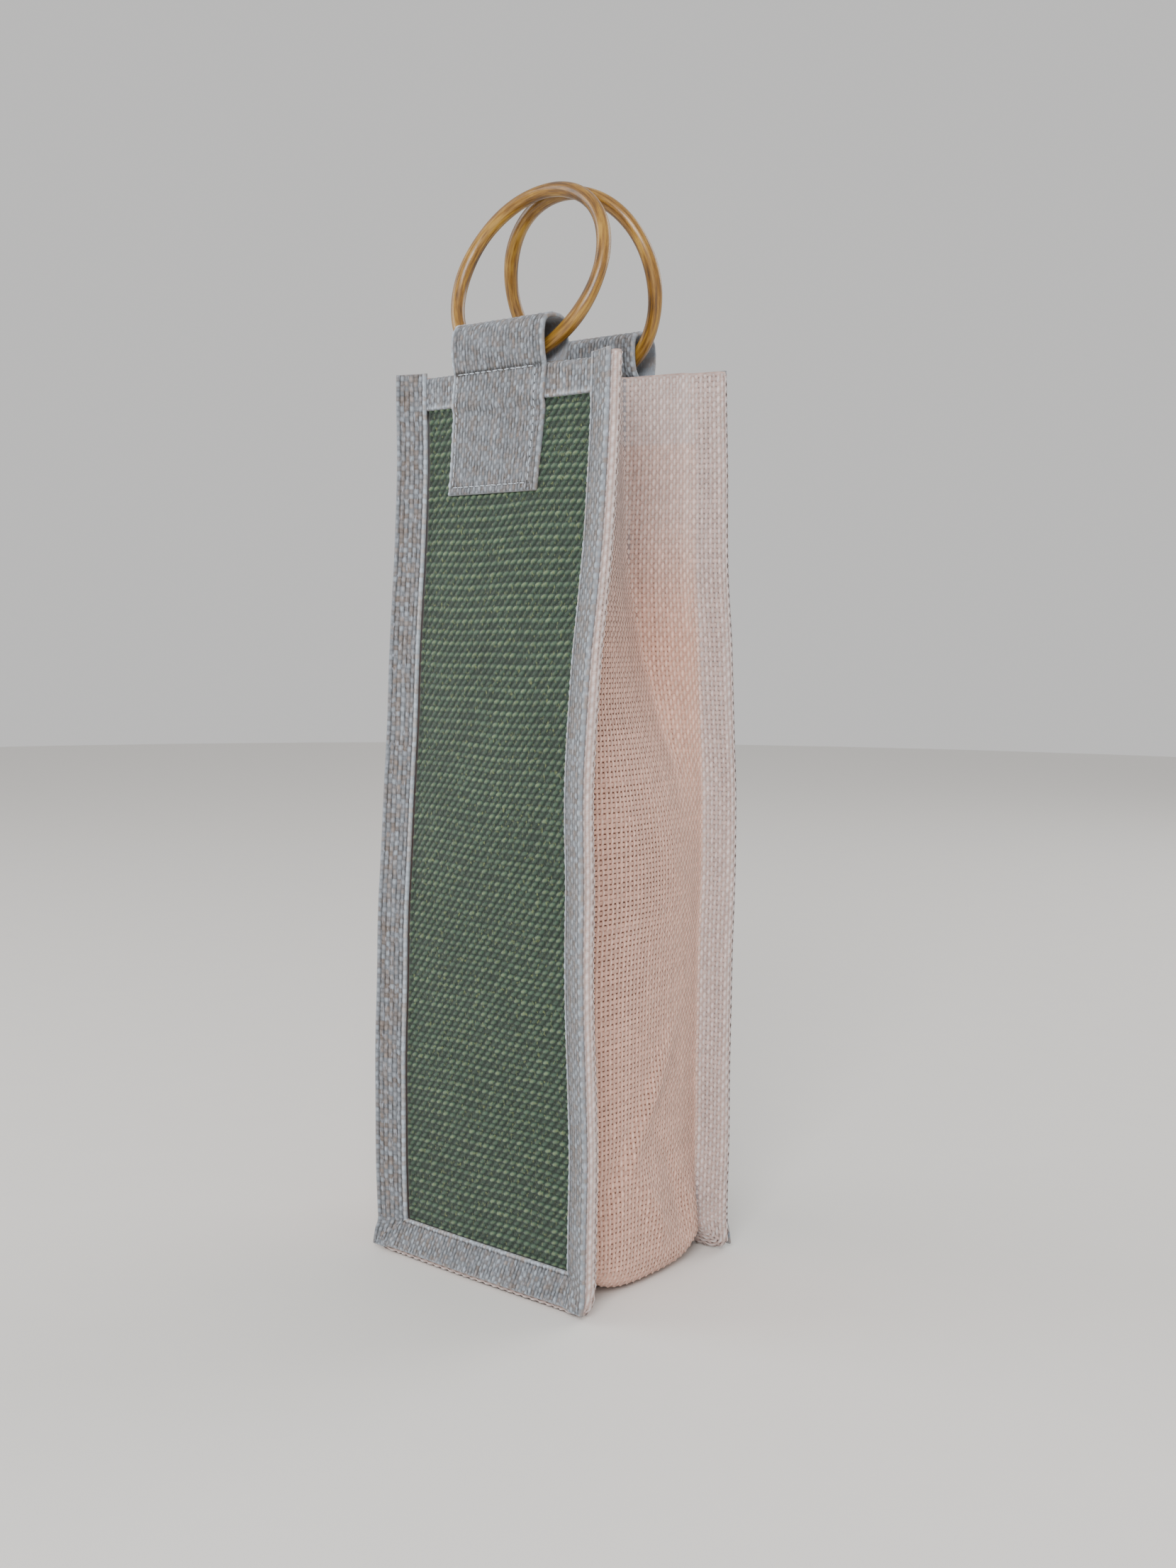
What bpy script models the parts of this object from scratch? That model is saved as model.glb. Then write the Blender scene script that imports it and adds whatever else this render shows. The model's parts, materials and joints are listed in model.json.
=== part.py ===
"""A jute bag for one bottle, standing by itself, with two cane rings for handles.

The frame is the bag's own: X runs across the front from left to right, Y from the front to the
back, Z up. The origin is on the floor under the middle of the bag. All lengths are in metres.

The bag is two green panels and one long strip of open jute, the gusset, which runs down one side,
under the bag and up the other. Each panel is sewn to the gusset along its sides and its foot with
the seam allowance turned outwards, so that it stands out as a fin. In a fin, from the outside in,
lie the binding, the gusset's hem turned round the edge, the panel and the gusset again.
"""

import math

import bmesh
import bpy
from mathutils import Matrix, Vector

MM = 0.001

# The bag's own sizes
BAG_HEIGHT = 360 * MM
SEAM_SPAN = 91 * MM
BODY_DEPTH = 80.8 * MM
SEAM_ALLOWANCE = 14 * MM

# How thick the cloths are, and how far apart two layers lie
PANEL_CLOTH = 2.0 * MM
GUSSET_CLOTH = 1.0 * MM
TAPE_CLOTH = 1.0 * MM
TAB_CLOTH = 1.3 * MM
CLEARANCE = 0.3 * MM

# The tape round each panel, the gusset's hem under it and the band over the panel's top edge
BINDING_LAP = 2.5 * MM
BINDING_SETBACK = 1.3 * MM
HEM_LAP = 1.5 * MM
HEM_SLACK = 0.4 * MM
EDGE_ROUNDING = 0.9 * MM
EDGE_ROUNDING_FALL = 1.1 * MM
BAND_HEIGHT = 12.7 * MM
BAND_DROP = 2.0 * MM
BAND_ROUNDING = 0.8 * MM
GUSSET_DROP = 1.0 * MM
GUSSET_HEM_HEIGHT = 14 * MM

# The foot of the bag
BASE_LIFT = 1.2 * MM
FOOT_BULGE = 8.5 * MM
FOOT_BULGE_HEIGHT = 45 * MM
FOOT_ROW_GAP = 1.5 * MM

# The tabs that hold the rings
TAB_WIDTH = 47.5 * MM
TAB_LEG = 47 * MM
TAB_SHEAR = 3.8 * MM
TAB_STEP = 3 * MM
LOOP_HEIGHT = 19 * MM
LOOP_DEPTH = 15.2 * MM
LOOP_INSET = 1.2 * MM
LOOP_FOOT = 1 * MM

# The rings
RING_DIAMETER = 78.6 * MM
RING_TUBE = 5.8 * MM
RING_INSET = 0.8 * MM
RING_SIDES = 10
RING_STEPS = 44

# Points of an open sheet closer than this are one point
MERGED = 0.001 * MM

FRONT = "front"
BACK = "back"
OUTWARDS = {FRONT: -1, BACK: 1}

# How far each fin turns out of its panel's plane, in degrees
FIN_FLARE = {
    FRONT: {"left": 20, "right": 25, "foot": 30},
    BACK: {"left": 14, "right": 10, "foot": 22},
}

# How far a tab and its ring stand to the right of the bag's middle
TAB_OFFSET = {FRONT: -3.0 * MM, BACK: -0.8 * MM}

# How far each panel leans in, as a share of the depth, at its left and its right seam
LEAN = {
    FRONT: [
        {"height": 0.00, "left": 0.025, "right": 0.037},
        {"height": 0.11, "left": 0.014, "right": 0.043},
        {"height": 0.24, "left": 0.012, "right": 0.027},
        {"height": 0.33, "left": 0.022, "right": 0.003},
        {"height": 0.44, "left": 0.049, "right": -0.002},
        {"height": 0.58, "left": 0.091, "right": 0.000},
        {"height": 0.69, "left": 0.124, "right": 0.038},
        {"height": 0.76, "left": 0.140, "right": 0.080},
        {"height": 0.82, "left": 0.160, "right": 0.118},
        {"height": 0.90, "left": 0.176, "right": 0.140},
        {"height": 1.00, "left": 0.176, "right": 0.164},
    ],
    BACK: [
        {"height": 0.00, "left": 0.012, "right": 0.010},
        {"height": 0.38, "left": 0.004, "right": 0.009},
        {"height": 0.52, "left": 0.010, "right": -0.004},
        {"height": 0.60, "left": 0.030, "right": 0.022},
        {"height": 0.69, "left": 0.062, "right": 0.052},
        {"height": 0.77, "left": 0.102, "right": 0.092},
        {"height": 0.92, "left": 0.146, "right": 0.132},
        {"height": 1.00, "left": 0.160, "right": 0.152},
    ],
}

# A slight swelling of each panel between its seams, as a share of the depth
PANEL_BELLY = 0.015

# How far the gusset is pinched in and swells out, up its height, as shares of the depth
GUSSET_FORM = [
    {"height": 0.00, "pinch": 0.000, "belly": 0.095},
    {"height": 0.09, "pinch": 0.000, "belly": 0.085},
    {"height": 0.18, "pinch": 0.000, "belly": 0.055},
    {"height": 0.36, "pinch": 0.000, "belly": 0.036},
    {"height": 0.53, "pinch": 0.000, "belly": 0.030},
    {"height": 0.60, "pinch": 0.050, "belly": 0.012},
    {"height": 0.66, "pinch": 0.150, "belly": 0.000},
    {"height": 0.72, "pinch": 0.235, "belly": 0.000},
    {"height": 0.80, "pinch": 0.305, "belly": 0.000},
    {"height": 0.90, "pinch": 0.335, "belly": 0.000},
    {"height": 1.00, "pinch": 0.345, "belly": 0.000},
]

# How much of the pinch, the belly and the foot's bulge and sag shows, from front seam to back seam.
# The pinch folds in close to the back seam, so that the cloth beyond its fold lies along the back.
GUSSET_SECTION = [
    {"along": 0.12, "pinch": 0.14, "belly": 0.46, "foot": 0.50, "sag": 0.62},
    {"along": 0.25, "pinch": 0.30, "belly": 0.82, "foot": 0.78, "sag": 0.92},
    {"along": 0.38, "pinch": 0.46, "belly": 0.98, "foot": 0.92, "sag": 1.00},
    {"along": 0.50, "pinch": 0.60, "belly": 0.98, "foot": 1.00, "sag": 1.00},
    {"along": 0.62, "pinch": 0.75, "belly": 0.86, "foot": 1.00, "sag": 1.00},
    {"along": 0.74, "pinch": 0.90, "belly": 0.66, "foot": 0.98, "sag": 0.95},
    {"along": 0.84, "pinch": 0.98, "belly": 0.44, "foot": 0.88, "sag": 0.76},
    {"along": 0.95, "pinch": 0.03, "belly": 0.14, "foot": 0.60, "sag": 0.28},
]

# The pinch ends lower at the back seam than at the front one, by this share of the height
PINCH_SLANT = 0.10

# How the gusset turns from the side into the base, round a foot corner: where the fins' edge is
# then, in the terms of on_panel, and the shares of the foot's bulge and of its sag
FOOT_TURN = [
    {"across": 2, "up": 0, "bulge": 1.00, "sag": 0.30},
    {"across": 2, "up": -1, "bulge": 0.86, "sag": 0.78},
    {"across": 1, "up": -1, "bulge": 0.40, "sag": 1.00},
]

# The base between the corners
FLAT_BASE = {"bulge": 0, "sag": 1}

# A tab's loop, from its outer leg over the top to its inner one: shares of its half depth and height
LOOP = [
    {"depth": 0.94, "height": 0.20},
    {"depth": 1.00, "height": 0.44},
    {"depth": 0.99, "height": 0.66},
    {"depth": 0.86, "height": 0.85},
    {"depth": 0.56, "height": 0.96},
    {"depth": 0.20, "height": 1.00},
    {"depth": -0.20, "height": 1.00},
    {"depth": -0.62, "height": 0.97},
    {"depth": -0.92, "height": 0.87},
    {"depth": -1.00, "height": 0.68},
    {"depth": -0.99, "height": 0.40},
    {"depth": -0.84, "height": 0.17},
    {"depth": -0.54, "height": 0.00},
]

# Rows and columns of the cloth
PANEL_COLUMNS = 8
BODY_ROWS = 14
TAB_ROWS = 3
TAB_COLUMNS = 3

# What follows from the sizes above
PANEL_SETBACK = GUSSET_CLOTH + CLEARANCE + HEM_SLACK
SEAM_HALF = SEAM_SPAN / 2
BODY_HALF = BODY_DEPTH / 2
HEM_LEVEL = PANEL_CLOTH + CLEARANCE + GUSSET_CLOTH
BINDING_LEVEL = HEM_LEVEL + CLEARANCE + TAPE_CLOTH
BAND_LEVEL = PANEL_CLOTH + CLEARANCE + TAPE_CLOTH
TAB_LEVEL = BAND_LEVEL + CLEARANCE + TAB_CLOTH
TAB_LOW_LEVEL = PANEL_CLOTH + 2 * CLEARANCE + TAB_CLOTH
FLANGE_LEVEL = -CLEARANCE - GUSSET_CLOTH
BAND_BACK_LEVEL = -CLEARANCE - TAPE_CLOTH
TAB_BACK_LEVEL = BAND_BACK_LEVEL - CLEARANCE - TAB_CLOTH
LOWEST_ROW = SEAM_ALLOWANCE + BINDING_LAP + FOOT_ROW_GAP
BAND_TOP = BAG_HEIGHT - BAND_DROP
BAND_FOOT = BAND_TOP - BAND_HEIGHT
PANEL_TOP = BAND_TOP - TAPE_CLOTH - CLEARANCE
GUSSET_TOP = BAG_HEIGHT - GUSSET_DROP
TAB_FOOT = BAND_TOP - TAB_LEG


def between(table, key, share, column):
    """Reads a column of a table at a share, along a smooth curve through its rows."""
    share = min(max(share, table[0][key]), table[-1][key])
    upper = next(i for i in range(1, len(table)) if share <= table[i][key])
    low, high = table[upper - 1], table[upper]
    before = table[max(upper - 2, 0)]
    after = table[min(upper + 1, len(table) - 1)]
    step = high[key] - low[key]
    low_slope = (high[column] - before[column]) / (high[key] - before[key]) * step
    high_slope = (after[column] - low[column]) / (after[key] - low[key]) * step
    t = (share - low[key]) / step
    return (
        (2 * t**3 - 3 * t**2 + 1) * low[column]
        + (t**3 - 2 * t**2 + t) * low_slope
        + (3 * t**2 - 2 * t**3) * high[column]
        + (t**3 - t**2) * high_slope
    )


def mix(start, end, share):
    return start + (end - start) * share


def half_depth(side, x, z):
    """How far the inner face of a panel is from the middle of the bag."""
    share = z / BAG_HEIGHT
    left = between(LEAN[side], "height", share, "left")
    right = between(LEAN[side], "height", share, "right")
    across = min(max((x / SEAM_HALF + 1) / 2, 0), 1)
    swelling = PANEL_BELLY * 4 * across * (1 - across) * math.sin(math.pi * min(share, 1))
    return BODY_HALF + BODY_DEPTH * (swelling - mix(left, right, across))


def flare(side, edge):
    return math.radians(FIN_FLARE[side][edge])


def fin_reach(side, edge):
    """How far a fin reaches sideways or down, and how far it turns out."""
    angle = flare(side, edge)
    return SEAM_ALLOWANCE * math.cos(angle), SEAM_ALLOWANCE * math.sin(angle)


def seam_height(side):
    """The height of the seam along a panel's foot: its fin stands on the floor."""
    return fin_reach(side, "foot")[0]


def fin_slopes(side, edge):
    """How steeply each part of a panel turns out: outwards to the side, and downwards."""
    reach, turn = fin_reach(side, edge)
    foot_reach, foot_turn = fin_reach(side, "foot")
    corner_turn = corner_out(side, edge)
    return {
        "flat": (0, 0),
        "side": (turn / reach, 0),
        "side_corner": (turn / reach, (corner_turn - turn) / foot_reach),
        "foot_corner": ((corner_turn - foot_turn) / reach, foot_turn / foot_reach),
        "foot": (0, foot_turn / foot_reach),
    }


def corner_out(side, edge):
    """How far the corner where two fins meet turns out: a little more than either."""
    turn = fin_reach(side, edge)[1]
    foot_turn = fin_reach(side, "foot")[1]
    return (turn**4 + foot_turn**4) ** 0.25


def parts_that_meet(across, up):
    """The parts of a panel that meet at a point, in the terms of on_panel."""
    beside, below = abs(across) > 1, up < 0
    at_side, at_foot = abs(across) == 1, up == 0
    if at_side and at_foot:
        return ["flat", "side", "side_corner", "foot_corner", "foot"]
    if beside and below:
        return ["side_corner", "foot_corner"]
    if beside:
        return ["side", "side_corner"] if at_foot else ["side"]
    if below:
        return ["foot", "foot_corner"] if at_side else ["foot"]
    if at_side:
        return ["flat", "side"]
    return ["flat", "foot"] if at_foot else ["flat"]


def outward(side, across, up):
    """The way a layer moves out at this point, so that it stays even where two parts meet."""
    edge = "right" if across > 0 else "left"
    slopes = fin_slopes(side, edge)
    normals = []
    for part in parts_that_meet(across, up):
        sideways, downwards = slopes[part]
        normals.append(Vector((-sideways, 1, downwards)).normalized())
    mean = sum(normals, Vector()).normalized()
    evenness = sum(mean.dot(normal) for normal in normals) / len(normals)
    way = mean / evenness
    return Vector((math.copysign(1, across) * way.x, OUTWARDS[side] * way.y, way.z))


def on_panel(side, across, up, level):
    """A point of a panel's layer.

    across runs from -1 to 1 between the side seams and on to 2 at a side fin's edge, or to -2. up
    is the height above the foot seam, or under 0 a share of the foot fin, -1 at its edge. level is
    how far out of the panel's inner face the point lies.
    """
    edge = "right" if across > 0 else "left"
    reach, turn = fin_reach(side, edge)
    foot_reach, foot_turn = fin_reach(side, "foot")
    beside, below = max(abs(across) - 1, 0), max(-up, 0)
    seam_x = math.copysign(min(abs(across), 1) * SEAM_HALF, across)
    seam_z = foot_reach + max(up, 0)
    if beside >= below:
        out = beside * turn + below * (corner_out(side, edge) - turn)
    else:
        out = below * foot_turn + beside * (corner_out(side, edge) - foot_turn)
    x = seam_x + math.copysign(beside * reach, across)
    y = OUTWARDS[side] * (half_depth(side, seam_x, seam_z) + out)
    z = seam_z - below * foot_reach
    return Vector((x, y, z)) + level * outward(side, across, up)


def body_rows(top):
    """Heights that every layer of the bag shares, from over the foot seam to a piece's own top."""
    rows = [mix(LOWEST_ROW, TAB_FOOT, row / BODY_ROWS) for row in range(BODY_ROWS)]
    rows += [mix(TAB_FOOT, BAND_FOOT, row / TAB_ROWS) for row in range(TAB_ROWS)]
    rows += [BAND_FOOT, mix(BAND_FOOT, PANEL_TOP, 0.5)]
    return rows + [top]


def panel_columns():
    return [2 * column / PANEL_COLUMNS - 1 for column in range(PANEL_COLUMNS + 1)]


def open_sheet(name, rows, turned):
    """An open sheet of cloth through rows of points. Points that fall together are merged."""
    shape = bmesh.new()
    bmesh.ops.create_grid(shape, x_segments=len(rows[0]) - 1, y_segments=len(rows) - 1, size=0.5)
    corners = sorted(shape.verts, key=lambda corner: (round(corner.co.y, 5), round(corner.co.x, 5)))
    for corner, point in zip(corners, [point for row in rows for point in row]):
        corner.co = point
    bmesh.ops.remove_doubles(shape, verts=shape.verts, dist=MERGED)
    if turned:
        bmesh.ops.reverse_faces(shape, faces=shape.faces)
    mesh = bpy.data.meshes.new(name)
    shape.to_mesh(mesh)
    shape.free()
    piece = bpy.data.objects.new(name, mesh)
    parts.objects.link(piece)
    return piece


def thicken(piece, cloth, group=None):
    """Gives a sheet its thickness, on the side away from its face."""
    solid = piece.modifiers.new("Cloth", "SOLIDIFY")
    solid.thickness = cloth
    solid.offset = -1
    solid.use_even_offset = True
    solid.use_quality_normals = True
    if group:
        solid.vertex_group = group


def finish(piece, color, roughness):
    """Gives a piece its own material."""
    material = bpy.data.materials.new(piece.name)
    material.use_nodes = True
    shader = material.node_tree.nodes["Principled BSDF"]
    shader.inputs["Base Color"].default_value = (*color, 1)
    shader.inputs["Roughness"].default_value = roughness
    shader.inputs["Metallic"].default_value = 0
    piece.data.materials.append(material)


def green_panel(side):
    """One green panel, whose edges run on into the fins."""
    edge = 1 - PANEL_SETBACK / SEAM_ALLOWANCE
    columns = [-1 - edge, *panel_columns(), 1 + edge]
    ups = [-edge, 0, *(z - seam_height(side) for z in body_rows(PANEL_TOP))]
    rows = [[on_panel(side, across, up, PANEL_CLOTH) for across in columns] for up in ups]
    panel = open_sheet(side + "_panel", rows, turned=side == BACK)
    split_foot_corners(panel, rows)
    thicken(panel, PANEL_CLOTH)
    finish(panel, (0.067, 0.130, 0.078), 0.9)


def nearest_corner(shape, point):
    return min(shape.verts, key=lambda corner: (corner.co - point).length)


def split_foot_corners(panel, rows):
    """Folds each foot corner of a panel from the seam to the corner's tip, as the binding folds."""
    shape = bmesh.new()
    shape.from_mesh(panel.data)
    for tip, seam in ((rows[0][0], rows[1][1]), (rows[0][-1], rows[1][-2])):
        ends = [nearest_corner(shape, point) for point in (tip, seam)]
        bmesh.ops.connect_vert_pair(shape, verts=ends)
    shape.to_mesh(panel.data)
    shape.free()


def binding(side):
    """The tape over the seams, in one length: down one side, folded at the corners, and up the other."""
    reach = 1 - BINDING_SETBACK / SEAM_ALLOWANCE
    lap = 1 - BINDING_LAP / SEAM_HALF
    edge = 1 + reach
    seam = seam_height(side)
    ups = [z - seam for z in reversed(body_rows(BAG_HEIGHT))]
    right = [[(lap, up), (1, up), (edge, up)] for up in ups]
    for across, up in ((edge, 0), (edge, -reach), (1, -reach)):
        right.append([(lap, BINDING_LAP), (1, 0), (across, up)])
    foot = []
    for across in reversed(panel_columns()[1:-1]):
        foot.append([(across, BINDING_LAP), (across, 0), (across, -reach)])
    left = [[(-across, up) for across, up in stop] for stop in reversed(right)]
    rows = []
    for stop in right + foot + left:
        rows.append([on_panel(side, across, up, BINDING_LEVEL) for across, up in stop])
    tape = open_sheet(side + "_binding", rows, turned=side == FRONT)
    thicken(tape, TAPE_CLOTH)
    finish(tape, (0.38, 0.31, 0.28), 0.9)


def top_band(side):
    """The tape folded over a panel's top edge, between the side seams."""
    end = 1 - (HEM_LAP + CLEARANCE) / SEAM_HALF
    columns = [-end, *panel_columns()[1:-1], end]
    path = [
        (BAND_FOOT, BAND_LEVEL),
        (mix(BAND_FOOT, PANEL_TOP, 0.5), BAND_LEVEL),
        (BAND_TOP - BAND_ROUNDING, BAND_LEVEL),
        (BAND_TOP, BAND_LEVEL - BAND_ROUNDING),
        (BAND_TOP, BAND_BACK_LEVEL + BAND_ROUNDING),
        (BAND_TOP - BAND_ROUNDING, BAND_BACK_LEVEL),
        (mix(BAND_FOOT, PANEL_TOP, 0.5), BAND_BACK_LEVEL),
        (BAND_FOOT, BAND_BACK_LEVEL),
    ]
    seam = seam_height(side)
    rows = [[on_panel(side, across, z - seam, level) for across in columns] for z, level in path]
    band = open_sheet(side + "_top_band", rows, turned=side == BACK)
    thicken(band, TAPE_CLOTH)
    finish(band, (0.38, 0.31, 0.28), 0.9)


def fin_section(side, hem_end, seam, edge):
    """The gusset's path through a fin: from its hem's end over the seam, round the edge and back.

    hem_end, seam and edge are (across, up) in the terms of on_panel.
    """
    rounding = EDGE_ROUNDING / SEAM_ALLOWANCE
    before_edge = (mix(edge[0], seam[0], rounding), mix(edge[1], seam[1], rounding))
    path = [
        on_panel(side, *hem_end, HEM_LEVEL),
        on_panel(side, *seam, HEM_LEVEL),
        on_panel(side, *before_edge, HEM_LEVEL),
        on_panel(side, *edge, HEM_LEVEL - EDGE_ROUNDING_FALL),
        on_panel(side, *edge, FLANGE_LEVEL + EDGE_ROUNDING_FALL),
        on_panel(side, *before_edge, FLANGE_LEVEL),
        on_panel(side, *seam, FLANGE_LEVEL),
    ]
    if edge[1] == -1:
        for on_floor in path[3:5]:
            on_floor.z = 0
    return path


def side_wall(front, back, z, way):
    """The gusset's wall across one side at one height: pinched in near the top, swollen lower down."""
    wall = []
    share = z / BAG_HEIGHT
    foot = max(1 - z / FOOT_BULGE_HEIGHT, 0)
    for row in GUSSET_SECTION:
        slanted = min(share + PINCH_SLANT * (row["along"] - 0.5), 1)
        pinch = between(GUSSET_FORM, "height", slanted, "pinch") * row["pinch"]
        belly = between(GUSSET_FORM, "height", share, "belly") * row["belly"]
        out = mix(BODY_DEPTH * (belly - pinch), FOOT_BULGE * row["foot"], foot)
        wall.append(front.lerp(back, row["along"]) + Vector((way * out, 0, 0)))
    return wall


def foot_wall(front, back, way, turn):
    """The gusset's wall where it turns under the bag, or runs under it."""
    wall = []
    for row in GUSSET_SECTION:
        seam = front.lerp(back, row["along"])
        sag = (seam.z - BASE_LIFT) * row["sag"] * turn["sag"]
        bulge = FOOT_BULGE * row["foot"] * turn["bulge"]
        wall.append(seam + Vector((way * bulge, 0, -sag)))
    return wall


def gusset_side(way):
    """The gusset's sections down one side and round its foot corner.

    way is 1 at the right and -1 at the left.
    """
    lap = way * (1 - HEM_LAP / SEAM_HALF)
    sections = []
    for z in reversed(body_rows(GUSSET_TOP)):
        fins = []
        for side in (FRONT, BACK):
            up = z - seam_height(side)
            fins.append(fin_section(side, (lap, up), (way, up), (2 * way, up)))
        front, back = fins
        sections.append(front + side_wall(front[-1], back[-1], z, way) + back[::-1])
    for turn in FOOT_TURN:
        edge = (way * turn["across"], turn["up"])
        front, back = (fin_section(side, (lap, HEM_LAP), (way, 0), edge) for side in (FRONT, BACK))
        sections.append(front + foot_wall(front[-1], back[-1], way, turn) + back[::-1])
    return sections


def gusset_base():
    """The gusset's sections under the bag, from right to left."""
    sections = []
    for across in reversed(panel_columns()[1:-1]):
        stops = ((across, HEM_LAP), (across, 0), (across, -1))
        front, back = (fin_section(side, *stops) for side in (FRONT, BACK))
        sections.append(front + foot_wall(front[-1], back[-1], 0, FLAT_BASE) + back[::-1])
    return sections


def gusset():
    """The long strip of open jute that makes both sides and the base, doubled by a hem at both ends."""
    rows = gusset_side(1) + gusset_base() + gusset_side(-1)[::-1]
    strip = open_sheet("gusset", rows, turned=True)
    hem = strip.vertex_groups.new(name="Hem")
    hemmed = GUSSET_TOP - GUSSET_HEM_HEIGHT - CLEARANCE
    for corner in strip.data.vertices:
        x, y, z = corner.co
        clear_of_fins = half_depth(BACK if y > 0 else FRONT, x, z) + 2 * FLANGE_LEVEL
        doubled = z > hemmed and abs(y) < clear_of_fins
        hem.add([corner.index], 1.0 if doubled else 0.5, "REPLACE")
    thicken(strip, 2 * GUSSET_CLOTH, "Hem")
    finish(strip, (0.61, 0.40, 0.31), 0.85)


def tab_path():
    """A tab's outer face from the foot of its outer leg to that of its inner one, as (level, height)."""
    half = LOOP_DEPTH / 2
    leg = [z for z in body_rows(BAND_TOP) if TAB_FOOT <= z < BAND_FOOT]
    path = [(TAB_LOW_LEVEL, z) for z in leg[:-1]]
    path.append((TAB_LOW_LEVEL, BAND_FOOT - TAB_STEP))
    path += [(TAB_LEVEL, z) for z in (BAND_FOOT - CLEARANCE, BAND_TOP - LOOP_FOOT)]
    path += [(half * row["depth"] - LOOP_INSET, BAND_TOP + LOOP_HEIGHT * row["height"]) for row in LOOP]
    path += [(TAB_BACK_LEVEL, z) for z in (BAND_TOP - TAB_STEP, BAND_FOOT, *reversed(leg))]
    return path


def tab(side):
    """A strip of cloth over the panel's top edge, with a loop above it for the ring."""
    rows = []
    seam = seam_height(side)
    for level, z in tab_path():
        outer_leg = level > 0 and z < BAND_TOP
        shear = TAB_SHEAR * (BAND_TOP - z) / TAB_LEG if outer_leg else 0
        row = []
        for column in range(TAB_COLUMNS + 1):
            x = TAB_OFFSET[side] - shear + TAB_WIDTH * (column / TAB_COLUMNS - 0.5)
            lower = on_panel(side, x / SEAM_HALF, min(z, BAND_TOP) - seam, level)
            row.append(Vector((lower.x, lower.y, z)))
        rows.append(row)
    strip = open_sheet(side + "_tab", rows, turned=side == BACK)
    thicken(strip, TAB_CLOTH)
    finish(strip, (0.36, 0.31, 0.29), 0.9)


def ring_seat(side):
    """The lowest point of a ring's centre line: it stands on the band, inside the tab's loop."""
    x = TAB_OFFSET[side]
    y = OUTWARDS[side] * (half_depth(side, x, BAND_TOP) - RING_INSET)
    return Vector((x, y, BAND_TOP + CLEARANCE + RING_TUBE / 2))


def ring_lean(side):
    """How far a ring leans in: the two rings rest against each other at the top."""
    centre_line = RING_DIAMETER - RING_TUBE
    return math.asin((abs(ring_seat(side).y) - (RING_TUBE + CLEARANCE) / 2) / centre_line)


def ring(side):
    """A cane ring, with its origin on the line that it swings about."""
    radius = (RING_DIAMETER - RING_TUBE) / 2
    bpy.ops.mesh.primitive_torus_add(
        major_segments=RING_STEPS,
        minor_segments=RING_SIDES,
        major_radius=radius,
        minor_radius=RING_TUBE / 2,
    )
    hoop = bpy.context.object
    hoop.name = side + "_ring"
    hoop.data.name = hoop.name
    hoop.data.transform(Matrix.Translation((0, 0, radius)) @ Matrix.Rotation(math.pi / 2, 4, "X"))
    hoop.rotation_euler = (OUTWARDS[side] * ring_lean(side), 0, 0)
    hoop.location = ring_seat(side)
    hoop.data.shade_smooth()
    for holder in list(hoop.users_collection):
        holder.objects.unlink(hoop)
    parts.objects.link(hoop)
    finish(hoop, (0.50, 0.27, 0.07), 0.3)


for startup in list(bpy.data.objects):
    bpy.data.objects.remove(startup)
parts = bpy.data.collections.new("jute bottle bag")
bpy.context.scene.collection.children.link(parts)

for face in (FRONT, BACK):
    green_panel(face)
    binding(face)
    top_band(face)
    tab(face)
    ring(face)
gusset()
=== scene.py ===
"""The looks of a jute bottle bag with cane ring handles, laid round its fixed frame.

The scene is in metres: X runs across the front from left to right, Y from front to back, Z up. The
green panels, tapes and tabs are woven sheets whose yarns stand up as real relief, and the gusset is
woven from separate yarns over a thin film.
"""

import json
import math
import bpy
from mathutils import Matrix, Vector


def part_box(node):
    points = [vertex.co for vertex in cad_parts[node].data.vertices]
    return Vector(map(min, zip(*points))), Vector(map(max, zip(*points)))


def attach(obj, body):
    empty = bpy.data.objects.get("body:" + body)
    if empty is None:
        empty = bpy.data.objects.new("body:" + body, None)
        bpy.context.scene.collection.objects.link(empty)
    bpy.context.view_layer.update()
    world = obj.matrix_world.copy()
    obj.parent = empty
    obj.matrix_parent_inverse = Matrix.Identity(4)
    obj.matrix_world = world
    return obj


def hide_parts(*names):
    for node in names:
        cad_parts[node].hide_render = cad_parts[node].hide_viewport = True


bl_info = {
    "name": "Jute Bottle Bag",
    "version": (1, 0, 0),
    "blender": (4, 5, 0),
    "location": "View3D > Sidebar > Bottle Bag",
    "description": "Dresses a bottle bag's frame with woven jute, stitched tape and varnished cane rings",
    "category": "Add Mesh",
}

from contextlib import contextmanager

import bmesh
import bpy
import numpy as np
from mathutils import Matrix, Vector

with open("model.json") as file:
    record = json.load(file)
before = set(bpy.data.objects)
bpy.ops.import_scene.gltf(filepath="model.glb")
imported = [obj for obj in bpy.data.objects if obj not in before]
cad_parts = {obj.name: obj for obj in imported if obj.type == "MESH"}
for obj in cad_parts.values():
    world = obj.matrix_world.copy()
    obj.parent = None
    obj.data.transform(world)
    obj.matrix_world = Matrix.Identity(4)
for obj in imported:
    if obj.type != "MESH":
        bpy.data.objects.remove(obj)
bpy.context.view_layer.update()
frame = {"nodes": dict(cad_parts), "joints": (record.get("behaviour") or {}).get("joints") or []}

MM = 0.001
FRONT, BACK = "front", "back"
OUTWARDS = {FRONT: -1, BACK: 1}


def table(names, *rows):
    """A table's columns by name. Where a table is read between its rows, the first holds their places."""
    return dict(zip(names.split(), np.array(rows).T))


# Points closer than this are one point
WELD_GAP = 0.001 * MM
NEAR_ZERO = 1e-12

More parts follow.
